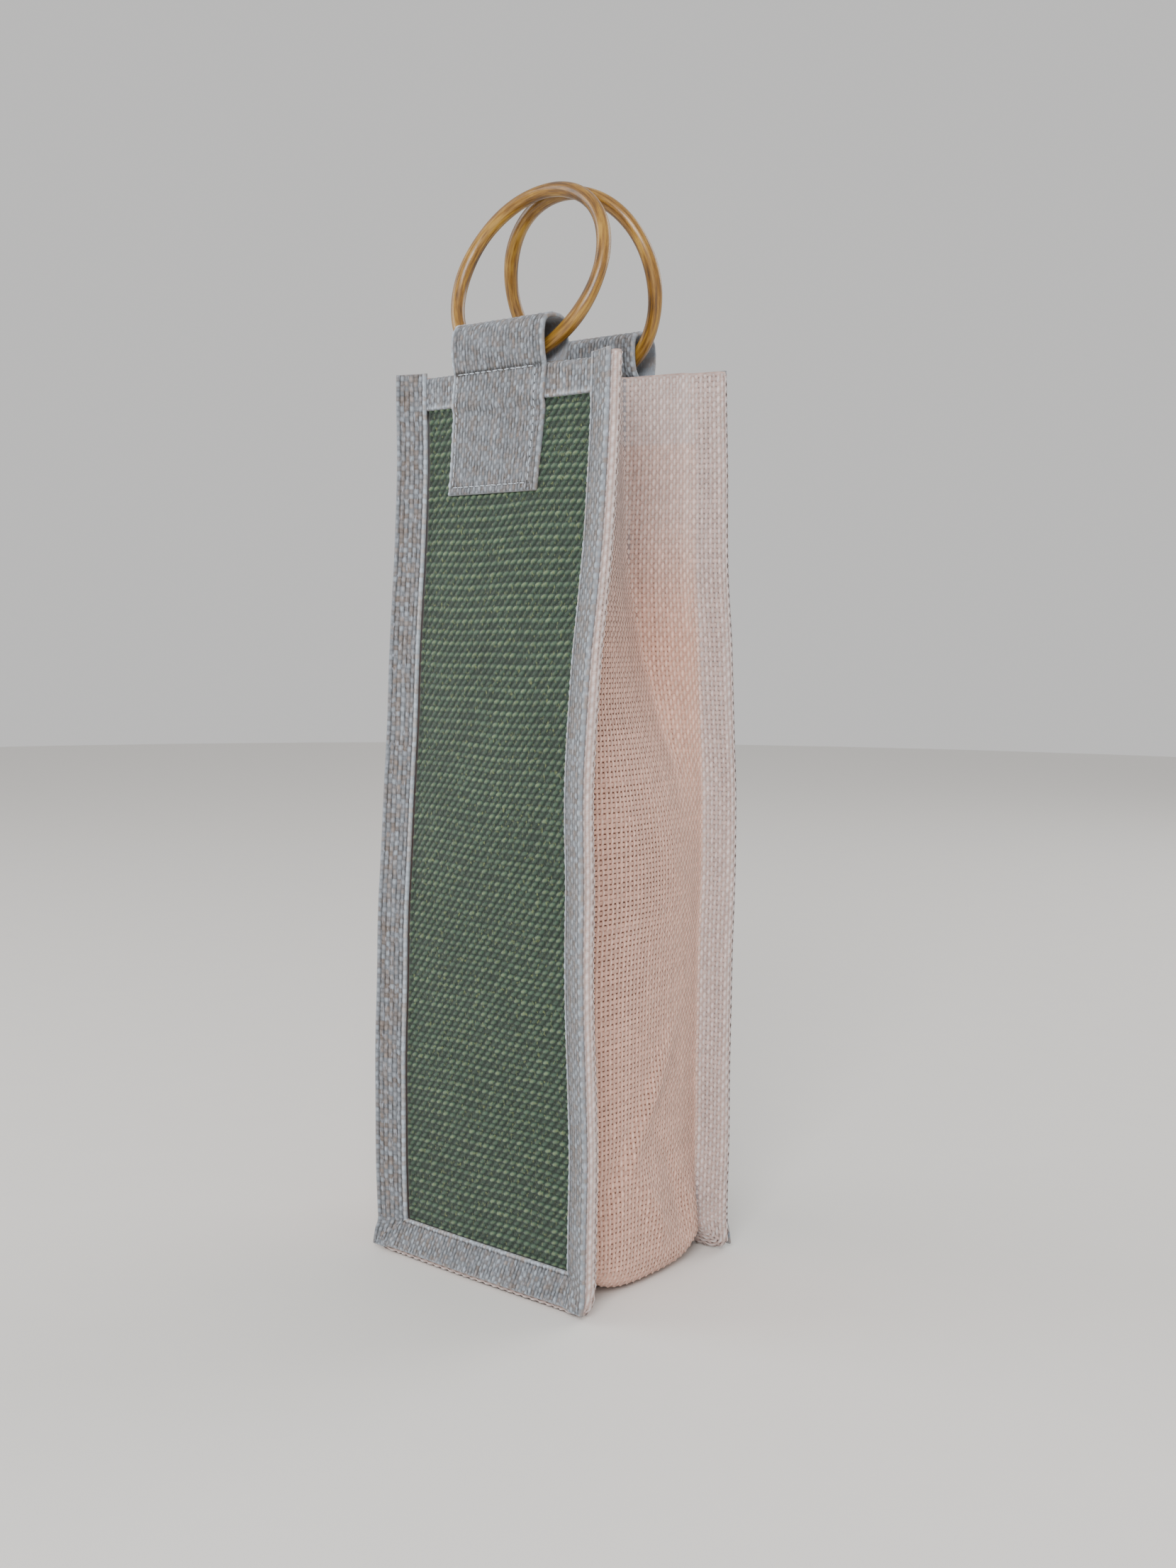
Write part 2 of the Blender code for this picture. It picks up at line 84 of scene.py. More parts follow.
# The bag's own sizes, as in the frame
BAG_HEIGHT = 360 * MM
SEAM_HALF = 45.5 * MM
BODY_DEPTH = 80.8 * MM
SEAM_ALLOWANCE = 14 * MM
PANEL_CLOTH = 2.0 * MM
GUSSET_CLOTH = 1.0 * MM
TAPE_CLOTH = 1.0 * MM
TAB_CLOTH = 1.3 * MM
CLEARANCE = 0.3 * MM
BINDING_LAP = 2.5 * MM
BINDING_SETBACK = 1.3 * MM
BAND_HEIGHT = 12.7 * MM
BAND_TOP = 358 * MM
BAND_FOOT = BAND_TOP - BAND_HEIGHT
GUSSET_TOP = 359 * MM
GUSSET_HEM_HEIGHT = 14 * MM
BASE_LIFT = 1.2 * MM
FOOT_BULGE = 8.5 * MM
FOOT_BULGE_HEIGHT = 45 * MM
TAB_WIDTH = 47.5 * MM
TAB_LEG = 47 * MM
TAB_SHEAR = 3.8 * MM
LOOP_HEIGHT = 19 * MM
LOOP_DEPTH = 15.2 * MM
LOOP_INSET = 1.2 * MM
TAB_OFFSET = {FRONT: -3.0 * MM, BACK: -0.8 * MM}

# How the cloths are cut, turned in and sewn
UNDER_TAPE = 1.0 * MM
UNDER_BAND = 1.5 * MM
BAND_END = 1.5 * MM
BAND_ROUNDING = 0.8 * MM
TAPE_TURNED = 0.9 * MM
TAPE_DROP = 1.1 * MM
FIN_ROUNDING = 0.9 * MM
FIN_FALL = 1.1 * MM
EDGE_SINK = 0.25 * MM
YARN_SINK = 0.25 * MM
FLOOR_GAP = 0.25 * MM
WEAVE_DEPTH = 0.55 * MM
GROOVE_WIDTH = 0.45 * MM
TAPE_STITCHES = 2.6 * MM
TAB_STITCHES = {"left": 2.2 * MM, "right": 4.5 * MM, "foot": 3.0 * MM}
STITCH_GAP = 0.45 * MM
STITCH_THICKNESS = 0.22 * MM
FILM_DEPTH = 0.65 * MM
FILM_THICKNESS = 0.5 * MM

# How far out of a panel's inner face each layer's outer face lies
HEM_LEVEL = PANEL_CLOTH + CLEARANCE + GUSSET_CLOTH
TAPE_LEVEL = HEM_LEVEL + CLEARANCE + TAPE_CLOTH
BAND_LEVEL = PANEL_CLOTH + CLEARANCE + TAPE_CLOTH
TAB_LEVEL = BAND_LEVEL + CLEARANCE + TAB_CLOTH
TAB_LOW_LEVEL = PANEL_CLOTH + 2 * CLEARANCE + TAB_CLOTH
FLANGE_LEVEL = -CLEARANCE - GUSSET_CLOTH
BAND_BACK_LEVEL = -CLEARANCE - TAPE_CLOTH
TAB_BACK_LEVEL = BAND_BACK_LEVEL - CLEARANCE - TAB_CLOTH

# How far each fin turns out of its panel's plane, in degrees
FIN_FLARE = {
    FRONT: {"left": 20, "right": 25, "foot": 30},
    BACK: {"left": 14, "right": 10, "foot": 22},
}

# How far each panel leans in, as a share of the depth, at its left and its right seam
LEAN = {
    FRONT: table(
        "height left right",
        (0.00, 0.025, 0.037),
        (0.11, 0.014, 0.043),
        (0.24, 0.012, 0.027),
        (0.33, 0.022, 0.003),
        (0.44, 0.049, -0.002),
        (0.58, 0.091, 0.000),
        (0.69, 0.124, 0.038),
        (0.76, 0.140, 0.080),
        (0.82, 0.160, 0.118),
        (0.90, 0.176, 0.140),
        (1.00, 0.176, 0.164),
    ),
    BACK: table(
        "height left right",
        (0.00, 0.012, 0.010),
        (0.38, 0.004, 0.009),
        (0.52, 0.010, -0.004),
        (0.60, 0.030, 0.022),
        (0.69, 0.062, 0.052),
        (0.77, 0.102, 0.092),
        (0.92, 0.146, 0.132),
        (1.00, 0.160, 0.152),
    ),
}
PANEL_BELLY = 0.015

# How far the gusset is pinched in and swells out, up its height, as shares of the depth
GUSSET_FORM = table(
    "height pinch belly",
    (0.00, 0.000, 0.095),
    (0.09, 0.000, 0.085),
    (0.18, 0.000, 0.055),
    (0.36, 0.000, 0.036),
    (0.53, 0.000, 0.030),
    (0.60, 0.050, 0.012),
    (0.66, 0.150, 0.000),
    (0.72, 0.235, 0.000),
    (0.80, 0.305, 0.000),
    (0.90, 0.335, 0.000),
    (1.00, 0.345, 0.000),
)

# How much of the pinch, the belly and the foot's bulge and sag shows, from front seam to back seam
GUSSET_SECTION = table(
    "along pinch belly foot sag",
    (0.00, 0.00, 0.00, 0.00, 0.00),
    (0.12, 0.14, 0.46, 0.50, 0.62),
    (0.25, 0.30, 0.82, 0.78, 0.92),
    (0.38, 0.46, 0.98, 0.92, 1.00),
    (0.50, 0.60, 0.98, 1.00, 1.00),
    (0.62, 0.75, 0.86, 1.00, 1.00),
    (0.74, 0.90, 0.66, 0.98, 0.95),
    (0.84, 0.98, 0.44, 0.88, 0.76),
    (0.95, 0.03, 0.14, 0.60, 0.28),
    (1.00, 0.00, 0.00, 0.00, 0.00),
)
PINCH_SLANT = 0.10

# Places between the two seams where the gusset's wall is worked out
WALL = np.linspace(0, 1, 39)[1:-1]

# Small folds of the gusset's wall: where, how tall and wide as shares, and how far out in millimetres
GUSSET_FOLDS = [
    {"height": 0.19, "reach": 0.08, "along": 0.46, "width": 0.07, "slant": 3.2, "out": 2.8},
    {"height": 0.13, "reach": 0.07, "along": 0.22, "width": 0.07, "slant": 3.0, "out": -2.0},
    {"height": 0.08, "reach": 0.06, "along": 0.50, "width": 0.07, "slant": -2.6, "out": 2.4},
    {"height": 0.09, "reach": 0.06, "along": 0.72, "width": 0.07, "slant": -2.0, "out": -2.2},
    {"height": 0.04, "reach": 0.035, "along": 0.90, "width": 0.07, "slant": 0.0, "out": 2.2},
    {"height": 0.62, "reach": 0.05, "along": 0.48, "width": 0.30, "slant": -10.0, "out": -1.4},
    {"height": 0.52, "reach": 0.06, "along": 0.30, "width": 0.12, "slant": -2.0, "out": 1.2},
    {"height": 0.47, "reach": 0.06, "along": 0.70, "width": 0.12, "slant": -2.0, "out": 1.0},
]

# How far the warps are drawn forwards or back, up the height, as shares of the depth
WARP_LEAN = table(
    "height lean",
    (0.0, 0.0),
    (0.17, 0.06),
    (0.42, 0.15),
    (0.68, 0.07),
    (0.92, 0.10),
    (1.0, 0.10),
)

# Round a foot corner: the shares of the foot's bulge and of its sag
FOOT_TURN = table(
    "turn bulge sag",
    (0.0, 1.00, 0.30),
    (0.5, 0.86, 0.78),
    (1.0, 0.40, 1.00),
)

# A tab's loop, from its outer leg over the top to its inner one: shares of its half depth and height
LOOP = table(
    "depth height",
    (0.94, 0.20),
    (1.00, 0.44),
    (0.99, 0.66),
    (0.86, 0.85),
    (0.56, 0.96),
    (0.20, 1.00),
    (-0.20, 1.00),
    (-0.62, 0.97),
    (-0.92, 0.87),
    (-1.00, 0.68),
    (-0.99, 0.40),
    (-0.84, 0.17),
    (-0.54, 0.00),
)

# The photograph's camera
PHOTO_HEIGHT = 2212
FOCAL_LENGTH = 2254.02
SENSOR_HEIGHT = 36
CAMERA_PLACE = Vector((420.05, -494.34, 258.67)) * MM
CAMERA_YAW = 0.68367
CAMERA_PITCH = 0.09656
CAMERA_ROLL = 0.00827


def size(name, description, default):
    return bpy.props.FloatProperty(name=name, description=description, default=default * MM, unit="LENGTH")


class BagWeave(bpy.types.PropertyGroup):
    """The yarns' sizes."""

    green_bump: size("Green stitch", "Width of one bump of the green cloth", 3.5)
    green_row: size("Green row", "Height of one row of bumps", 2.2)
    tape_warp: size("Tape warp", "Width of one warp yarn of the tape", 2.1)
    tab_warp: size("Tab warp", "Width of one warp yarn of the tabs", 1.54)
    weft: size("Weft", "Distance between the weft yarns of the natural jute", 1.95)
    gusset_warp: size("Gusset warp", "Distance between the gusset's warp yarns", 1.87)
    gusset_yarn: size("Gusset yarn", "Width of one of the gusset's yarns", 1.5)
    stitch: size("Stitch", "Length of one stitch", 2.6)


def colour(name, description, default):
    return bpy.props.FloatVectorProperty(
        name=name, description=description, subtype="COLOR", size=3, min=0, max=1, default=default
    )


class BagColours(bpy.types.PropertyGroup):
    """The yarns', the cane's and the floor's colours."""

    # Painted shade: the colour deep between the green bumps.
    green_dark: colour("Green, deep", "Between the green bumps", (0.011, 0.022, 0.014))
    green: colour("Green", "The green yarn", (0.047, 0.088, 0.056))
    # Painted highlight: the colour on the tips of the green bumps.
    green_light: colour("Green, tips", "The tips of the green bumps", (0.150, 0.205, 0.108))
    # Painted shade: the colour deep between the tape's yarns.
    tape_dark: colour("Tape, deep", "Between the tape's yarns", (0.060, 0.056, 0.055))
    tape: colour("Tape", "The tape's yarn", (0.248, 0.236, 0.240))
    # Painted highlight, pale and bluish, on the tips of the tape's yarn.
    tape_light: colour("Tape, tips", "The tips of the tape's yarn", (0.560, 0.560, 0.580))
    # The gusset's colours: painted shade on the yarns' sides, the yarn itself, and a painted highlight on
    # their crowns. Their salmon tint is partly the jute's own colour and partly painted warm bounce light.
    gusset_dark: colour("Gusset, deep", "The sides of the gusset's yarn", (0.385, 0.190, 0.132))
    gusset: colour("Gusset", "The gusset's yarn", (0.600, 0.335, 0.250))
    gusset_light: colour("Gusset, tips", "The crowns of the gusset's yarn", (0.780, 0.560, 0.465))
    # The film's dark colour is partly painted shade, seen through the holes between the gusset's yarns.
    film: colour("Film", "The film behind the gusset's yarns", (0.250, 0.120, 0.082))
    thread: colour("Thread", "The sewing thread", (0.640, 0.710, 0.800))
    cane_dark: colour("Cane, dark", "The cane's dark streaks", (0.075, 0.032, 0.006))
    cane: colour("Cane", "The varnished cane", (0.205, 0.092, 0.008))
    cane_light: colour("Cane, light", "The cane's pale streaks", (0.370, 0.205, 0.030))
    floor: colour("Floor", "The studio floor", (0.780, 0.760, 0.730))


# Reading tables and sheets


def smooth(knots, values, at):
    """Values between knots, along smooth curves through them."""
    knots, values = np.asarray(knots, float), np.asarray(values, float)
    at = np.clip(np.asarray(at, float), knots[0], knots[-1])
    order = np.arange(len(knots))
    before, after = np.maximum(order - 1, 0), np.minimum(order + 1, len(knots) - 1)
    wide = (-1,) + (1,) * (values.ndim - 1)
    slopes = (values[after] - values[before]) / (knots[after] - knots[before]).reshape(wide)
    low = np.clip(np.searchsorted(knots, at, "right") - 1, 0, len(knots) - 2)
    step = knots[low + 1] - knots[low]
    t = ((at - knots[low]) / step).reshape(at.shape + (1,) * (values.ndim - 1))
    step = step.reshape(t.shape)
    return (
        (2 * t**3 - 3 * t**2 + 1) * values[low]
        + (t**3 - 2 * t**2 + t) * step * slopes[low]
        + (3 * t**2 - 2 * t**3) * values[low + 1]
        + (t**3 - t**2) * step * slopes[low + 1]
    )


def straight(knots, values, at):
    """Values between knots, along straight lines."""
    knots, values = np.asarray(knots, float), np.asarray(values, float)
    at = np.clip(np.asarray(at, float), knots[0], knots[-1])
    low = np.clip(np.searchsorted(knots, at, "right") - 1, 0, len(knots) - 2)
    t = ((at - knots[low]) / (knots[low + 1] - knots[low])).reshape(at.shape + (1,) * (values.ndim - 1))
    return values[low] * (1 - t) + values[low + 1] * t


def read(columns, name, at, way=smooth):
    """One column of a table, between its rows."""
    places = next(iter(columns.values()))
    return way(places, columns[name], at)


def across_columns(way, knots, points, at):
    """Reads each row of a grid of points at places along the row."""
    return way(knots, points.swapaxes(0, 1), at).swapaxes(0, 1)


def mix(start, end, share):
    return start + (end - start) * share


def ridge(at, middle, width):
    """1 along a line, falling off smoothly on both sides of it."""
    return np.exp(-(((at - middle) / width) ** 2))


def reached(points):
    """How far along its row each point lies, for one row of points or for many."""
    steps = np.linalg.norm(np.diff(points, axis=-2), axis=-1)
    return np.concatenate([np.zeros_like(steps[..., :1]), np.cumsum(steps, axis=-1)], axis=-1)


def yarn_grid(warps, wefts, warp_points=4, weft_points=4):
    """A grid that counts a cloth's warps and wefts, with so many points to each."""
    p = np.arange(warp_points * warps + 1) / warp_points
    q = np.arange(weft_points * wefts + 1) / weft_points
    return np.meshgrid(p, q)


def drift(x, z, side):
    """The cloth's slight unevenness, the same for every layer of one face of the bag."""
    turn = 0.0 if side == FRONT else 1.9
    waves = (
        math.sin(31 * z + 1.3 + turn) * math.cos(23 * x - 0.4)
        + 0.6 * math.sin(67 * z - 38 * x + 2.1 + 2 * turn)
        + 0.4 * math.sin(118 * z + 71 * x + 0.7 - turn)
    )
    return 0.35 * MM * waves


def half_depth(side, x, z):
    """How far the inner face of a panel is from the middle of the bag."""
    share = min(z / BAG_HEIGHT, 1)
    left = float(read(LEAN[side], "left", share))
    right = float(read(LEAN[side], "right", share))
    across = min(max((x / SEAM_HALF + 1) / 2, 0), 1)
    swelling = PANEL_BELLY * 4 * across * (1 - across) * math.sin(math.pi * share)
    return BODY_DEPTH * (0.5 + swelling - mix(left, right, across)) + drift(x, z, side)


def fin_reach(side, edge):
    """How far a fin reaches sideways or down, and how far it turns out."""
    angle = math.radians(FIN_FLARE[side][edge])
    return SEAM_ALLOWANCE * math.cos(angle), SEAM_ALLOWANCE * math.sin(angle)


def seam_height(side):
    return fin_reach(side, "foot")[0]


def corner_out(side, edge):
    """How far the corner where two fins meet turns out: a little more than either."""
    return (fin_reach(side, edge)[1] ** 4 + fin_reach(side, "foot")[1] ** 4) ** 0.25


def outward(side, across, up):
    """The way a layer moves out at a point, so that it stays even where two parts meet."""
    edge = "right" if across > 0 else "left"
    reach, turn = fin_reach(side, edge)
    foot_reach, foot_turn = fin_reach(side, "foot")
    corner = corner_out(side, edge)
    slopes = {
        "flat": (0, 0),
        "side": (turn / reach, 0),
        "side_corner": (turn / reach, (corner - turn) / foot_reach),
        "foot_corner": ((corner - foot_turn) / reach, foot_turn / foot_reach),
        "foot": (0, foot_turn / foot_reach),
    }
    beside, below = abs(across) > 1, up < 0
    at_side, at_foot = abs(across) == 1, up == 0
    if at_side and at_foot:
        meeting = slopes
    elif beside and below:
        meeting = ["side_corner", "foot_corner"]
    elif beside:
        meeting = ["side", "side_corner"] if at_foot else ["side"]
    elif below:
        meeting = ["foot", "foot_corner"] if at_side else ["foot"]
    else:
        meeting = ["flat"] + ["side"] * at_side + ["foot"] * at_foot
    normals = [Vector((-slopes[part][0], 1, slopes[part][1])).normalized() for part in meeting]
    mean = sum(normals, Vector()).normalized()
    way = mean / (sum(mean.dot(normal) for normal in normals) / len(normals))
    return Vector((math.copysign(1, across) * way.x, OUTWARDS[side] * way.y, way.z))


def on_panel(side, across, up, level):
    """A point of a layer of a panel.

    across runs from -1 to 1 between the side seams and on to 2 at a side fin's edge, or to -2. up
    is the height above the foot seam, or under 0 a share of the foot fin, -1 at its edge. level is
    how far out of the panel's inner face the point lies.
    """
    across, up, level = float(across), float(up), float(level)
    edge = "right" if across > 0 else "left"
    reach, turn = fin_reach(side, edge)
    foot_reach, foot_turn = fin_reach(side, "foot")
    beside, below = max(abs(across) - 1, 0), max(-up, 0)
    seam_x = math.copysign(min(abs(across), 1) * SEAM_HALF, across)
    seam_z = foot_reach + max(up, 0)
    corner = corner_out(side, edge)
    out = beside * turn + below * (corner - turn)
    if beside < below:
        out = below * foot_turn + beside * (corner - foot_turn)
    x = seam_x + math.copysign(beside * reach, across)
    y = OUTWARDS[side] * (half_depth(side, seam_x, seam_z) + out)
    z = seam_z - below * foot_reach
    return Vector((x, y, z)) + level * outward(side, across, up)


def cage(rows):
    """Rows of points as an array."""
    return np.array([[tuple(point) for point in row] for row in rows])


# Making meshes


def new_object(name, mesh):
    piece = bpy.data.objects.new(name, mesh)
    bpy.context.scene.collection.objects.link(piece)
    return piece


def store(mesh, name, values):
    """Keeps a number for each point of a mesh, for its material to read."""
    layer = mesh.attributes.new(name, "FLOAT", "POINT")
    layer.data.foreach_set("value", np.ravel(values).astype(np.float32))


def store_uv(mesh, uv):
    """Keeps the cloth's own flat coordinates, in centimetres, for its material to read."""
    layer = mesh.uv_layers.new(name="Cloth")
    corners = np.empty(len(mesh.loops), np.int32)
    mesh.loops.foreach_get("vertex_index", corners)
    flat = (np.asarray(uv).reshape(-1, 2) * 100)[corners]
    layer.data.foreach_set("uv", flat.ravel().astype(np.float32))


@contextmanager
def edited(mesh):
    """A mesh in the form that bmesh works on, put back when the work is done."""
    shape = bmesh.new()
    shape.from_mesh(mesh)
    yield shape
    shape.to_mesh(mesh)
    shape.free()
    mesh.update()


def close_up(shape):
    """Caps the open ends of a shape."""
    bmesh.ops.holes_fill(shape, edges=[edge for edge in shape.edges if edge.is_boundary], sides=0)


def grid_mesh(name, points):
    """A sheet through rows of points, made from Blender's own grid."""
    rows, columns = points.shape[:2]
    mesh = bpy.data.meshes.new(name)
    with edited(mesh) as shape:
        bmesh.ops.create_grid(shape, x_segments=columns - 1, y_segments=rows - 1, size=1)
    mesh.vertices.foreach_set("co", points.reshape(-1).astype(np.float32))
    mesh.update()
    return mesh


def outer_normals(points, outwards, at=np.s_[:, :]):
    """Which way each point of a sheet looks, turned so that the sheet, or its point at, looks outwards."""
    normals = np.cross(np.gradient(points, axis=1), np.gradient(points, axis=0))
    normals /= np.maximum(np.linalg.norm(normals, axis=2, keepdims=True), NEAR_ZERO)
    return normals * np.sign((normals[at] @ np.array(outwards)).sum())


def soften(points, axis, passes):
    """Rounds off the creases of a sheet along one axis, leaving its ends where they are."""
    points = points.swapaxes(0, axis).copy()
    for _ in range(passes):
        points[1:-1] = 0.25 * points[:-2] + 0.5 * points[1:-1] + 0.25 * points[2:]
    return points.swapaxes(0, axis)


def edge_tone(relief):
    """The relief as a share of its height, from which the materials paint shade and highlight, with an even
    middle tone along the cloth's four edges.
    """
    shares = relief / relief.max()
    for edge in (0, -1):
        shares[edge] = 0.5
        shares[:, edge] = 0.5
    return shares


def wrapped(values):
    """What a face's points hold, carried on round the cloth's edges and its inner face."""
    return np.concatenate([values[:, :1], values, values[:, -1:], values[:, :1]], axis=1)


def woven_slab(name, base, normals, relief, tone, uv, cloth, edge_sink=EDGE_SINK):
    """A woven cloth: its outer face with every yarn, its two long edges and a plain inner face.

    base holds rows of points of the outer face and normals their ways out, relief how far each
    stands out, tone a number for each yarn. The sheet is closed like a flattened tube, with a cap
    at each end.
    """
    face = base + normals * relief[..., None]
    for edge in (np.s_[0], np.s_[-1], np.s_[:, 0], np.s_[:, -1]):
        face[edge] = base[edge] - normals[edge] * edge_sink
    back = base - normals * cloth
    mesh = grid_mesh(name, np.concatenate([back[:, :1], face, back[:, -1:], back[:, :1]], axis=1))
    store(mesh, "relief", wrapped(edge_tone(relief)))
    store(mesh, "tone", wrapped(tone))
    store_uv(mesh, wrapped(uv))
    with edited(mesh) as shape:
        bmesh.ops.remove_doubles(shape, verts=shape.verts, dist=WELD_GAP)
        close_up(shape)
        bmesh.ops.recalc_face_normals(shape, faces=shape.faces)
        for part in shape.faces:
            part.smooth = len(part.verts) < 5
    return mesh


def plain_weave(p, q, seed):
    """The relief of a close plain weave: p counts its warp yarns, q its wefts.

    A warp yarn floats over every second weft, and its neighbours over the others. The wefts show as lower
    bumps between the floats, darker through the painted shade that the materials give to low relief.
    """
    chance = np.random.default_rng(seed)
    last = p.max()
    inside = np.clip(np.minimum(p, last - p) / 2, 0, 1)
    sway = np.sin(0.31 * q + 0.9 * p + seed) + np.sin(0.83 * q - 0.6 * p)
    p = np.clip(p + 0.06 * inside * sway, 0, last)
    sag = 0.12 * np.sin(0.71 * p + 0.17 * q + seed) + 0.08 * np.sin(1.9 * p - 0.3 * q)
    q = np.clip(q + sag, 0, None)
    yarn = np.floor(p + 1e-6).astype(int)
    warps, wefts = yarn.max() + 2, int(q.max()) + 3
    yarn = np.clip(yarn, 0, warps - 1)
    weft = np.clip(np.floor(q + 0.5).astype(int), 0, wefts - 1)
    plump = chance.uniform(0.75, 1.1, warps)[yarn]
    tone = chance.uniform(0, 1, warps)[yarn]
    each = chance.uniform(0, 1, (warps, wefts))[yarn, weft]
    beside = 2 * (p - yarn) - 1
    rise = 0.5 + 0.5 * np.cos(math.pi * (q + yarn))
    column = np.sqrt(np.clip(1 - beside**2, 0, 1))
    warp_height = column * (0.12 + 0.88 * rise**0.6) * plump
    weft_arch = np.sqrt(np.clip(1 - (2 * (q - weft)) ** 2, 0, 1))
    weft_height = 0.60 * weft_arch * (1 - rise) * column
    relief = WEAVE_DEPTH * np.maximum(warp_height * (0.9 + 0.15 * each), weft_height)
    return relief, 0.35 * tone + 0.65 * each


def flat_uv(p, q):
    return np.stack([p, q], axis=-1)


def join(name, meshes):
    """Several meshes as one object."""
    pieces = [new_object(name, mesh) for mesh in meshes]
    with bpy.context.temp_override(
        active_object=pieces[0], object=pieces[0], selected_objects=pieces, selected_editable_objects=pieces
    ):
        bpy.ops.object.join()
    pieces[0].name = name
    pieces[0].data.name = name
    return pieces[0]


def dress(piece, material, body="bag", nodes=()):
    """Gives a finished piece its material and the body that it rides on."""
    piece.data.materials.clear()
    piece.data.materials.append(material)
    for part in piece.data.polygons:
        part.material_index = 0
    if nodes:
        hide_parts(*nodes)
    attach(piece, body)


# Materials


class Finish:
    """A material being built, node by node."""

    def __init__(self, name):
        self.material = bpy.data.materials.new(name)
        self.material.use_nodes = True
        self.nodes = self.material.node_tree.nodes
        self.links = self.material.node_tree.links
        self.shader = self.nodes["Principled BSDF"]

    def feed(self, socket, value):
        """Gives a socket its value: a number, a colour or another node's output."""
        if isinstance(value, bpy.types.NodeSocket):
            self.links.new(value, socket)
        else:
            socket.default_value = value

    def node(self, kind, inputs=None, **settings):
        made = self.nodes.new("ShaderNode" + kind)
        for key, value in settings.items():
            setattr(made, key, value)
        for key, value in (inputs or {}).items():
            self.feed(made.inputs[key], value)
        return made

    def combine(self, operation, first, second):
        return self.node("Math", {0: first, 1: second}, operation=operation).outputs[0]

    def attribute(self, name):
        return self.node("Attribute", attribute_name=name).outputs["Fac"]

    def cloth(self, scale):
        """The cloth's own coordinates, stretched."""
        uv = self.node("UVMap", uv_map="Cloth").outputs["UV"]
        return self.node("Mapping", {"Vector": uv, "Scale": scale}).outputs["Vector"]

    def noise(self, vector, scale, detail=3.0, roughness=0.6):
        values = {"Vector": vector, "Scale": scale, "Detail": detail, "Roughness": roughness}
        return self.node("TexNoise", values).outputs["Fac"]

    def ramp(self, value, places, tints):
        made = self.node("ValToRGB", {"Fac": value})
        points = made.color_ramp.elements
        while len(points) < len(places):
            points.new(0.5)
        for point, place, tint in zip(points, places, tints):
            point.position = place
            point.color = (*tint, 1)
        return made.outputs["Color"]

    def blend(self, way, share, first, second):
        inputs = {0: share, 6: first, 7: second}
        return self.node("Mix", inputs, data_type="RGBA", blend_type=way).outputs[2]

    def level(self, value, low, high, new_low, new_high):
        values = {"Value": value, "From Min": low, "From Max": high, "To Min": new_low, "To Max": new_high}
        return self.node("MapRange", values).outputs["Result"]

    def bump(self, height, strength, distance, normal=None):
        values = {"Height": height, "Strength": strength, "Distance": distance}
        if normal:
            values["Normal"] = normal
        return self.node("Bump", values).outputs["Normal"]

    def set(self, **values):
        for key, value in values.items():
            self.feed(self.shader.inputs[key.replace("_", " ")], value)


def palette(colours, name):
    """A finish's dark, middle and light colours."""
    return [tuple(getattr(colours, name + tail)) for tail in ("_dark", "", "_light")]


def scaled(tint, share):
    return tuple(share * part for part in tint)


def jute(name, tints, fleck, fibre, patch=0.10, doubled=False, mixed=False):
    """Woven jute with fibres, flecks and uneven dye, with painted shade deep between the yarns and a painted
    highlight pale on their crowns.

    doubled lets cloth that lies double look greyer, and mixed mixes warm yarns with cool ones.
    """
    finish = Finish(name)
    relief = finish.attribute("relief")
    tone = finish.attribute("tone")
    fine, long = fibre
    fibres = finish.noise(finish.cloth((fine, long, 1)), 1.0, 4.0, 0.7)
    # Painted shade and highlight: the yarns' relief picks the colour, dark in the hollows between them and
    # pale on their crowns.
    body = finish.ramp(relief, (0.08, 0.42, 0.88), tints)
    shade = finish.level(tone, 0, 1, 0.82, 1.18)
    grain = finish.level(fibres, 0.3, 0.7, 0.86, 1.14)
    both = finish.combine("MULTIPLY", shade, grain)
    patches = finish.level(finish.noise(finish.cloth((0.5, 0.35, 1)), 1.0), 0.3, 0.7, 1 - patch, 1 + patch)
    value = finish.combine("MULTIPLY", both, patches)
    dyed = finish.node("HueSaturation", {"Color": body, "Value": value}).outputs["Color"]
    if mixed:
        yarns = finish.noise(finish.cloth((7, 3, 1)), 1.0, 2.0)
        mixture = finish.level(finish.combine("ADD", yarns, tone), 0.3, 1.3, 0, 1)
        warm, cool = (1.0, 0.87, 0.76), (0.80, 0.91, 1.0)
        dyed = finish.blend("MULTIPLY", 1.0, dyed, finish.ramp(mixture, (0.2, 0.8), (warm, cool)))
    spots = finish.noise(finish.cloth((fine * 0.4, long * 0.5, 1)), 1.0, 2.0)
    flecks = finish.level(spots, 0.58, 0.72, 0, 0.55)
    tinted = finish.blend("MIX", flecks, dyed, (*fleck, 1))
    if doubled:
        tinted = finish.blend("MULTIPLY", finish.attribute("doubled"), tinted, (0.88, 1.16, 1.40, 1))
    finish.set(Base_Color=tinted, Roughness=0.92, Specular_IOR_Level=0.25)
    finish.set(Sheen_Weight=0.25, Sheen_Roughness=0.5)
    fuzz = finish.noise(finish.cloth((fine * 0.8, fine * 0.5, 1)), 1.0, 4.0, 0.75)
    rough = finish.bump(fuzz, 0.6, 0.5 * MM)
    finish.set(Normal=finish.bump(fibres, 0.6, 0.3 * MM, rough))
    return finish.material


def cane_finish(colours):
    """Varnished cane: long honey streaks round the ring, under a gloss coat."""
    finish = Finish("varnished_cane")
    streaks = finish.noise(finish.cloth((11, 0.8, 1)), 1.0, 5.0, 0.65)
    clouds = finish.noise(finish.cloth((1.0, 0.4, 1)), 1.0, 2.0, 0.5)
    both = finish.level(finish.combine("ADD", streaks, clouds), 0.2, 1.8, 0, 1)
    body = finish.ramp(both, (0.39, 0.49, 0.61), palette(colours, "cane"))
    finish.set(Base_Color=body, Roughness=0.42, Coat_Weight=0.35, Coat_Roughness=0.15)
    finish.set(Normal=finish.bump(streaks, 0.25, 0.1 * MM))
    return finish.material


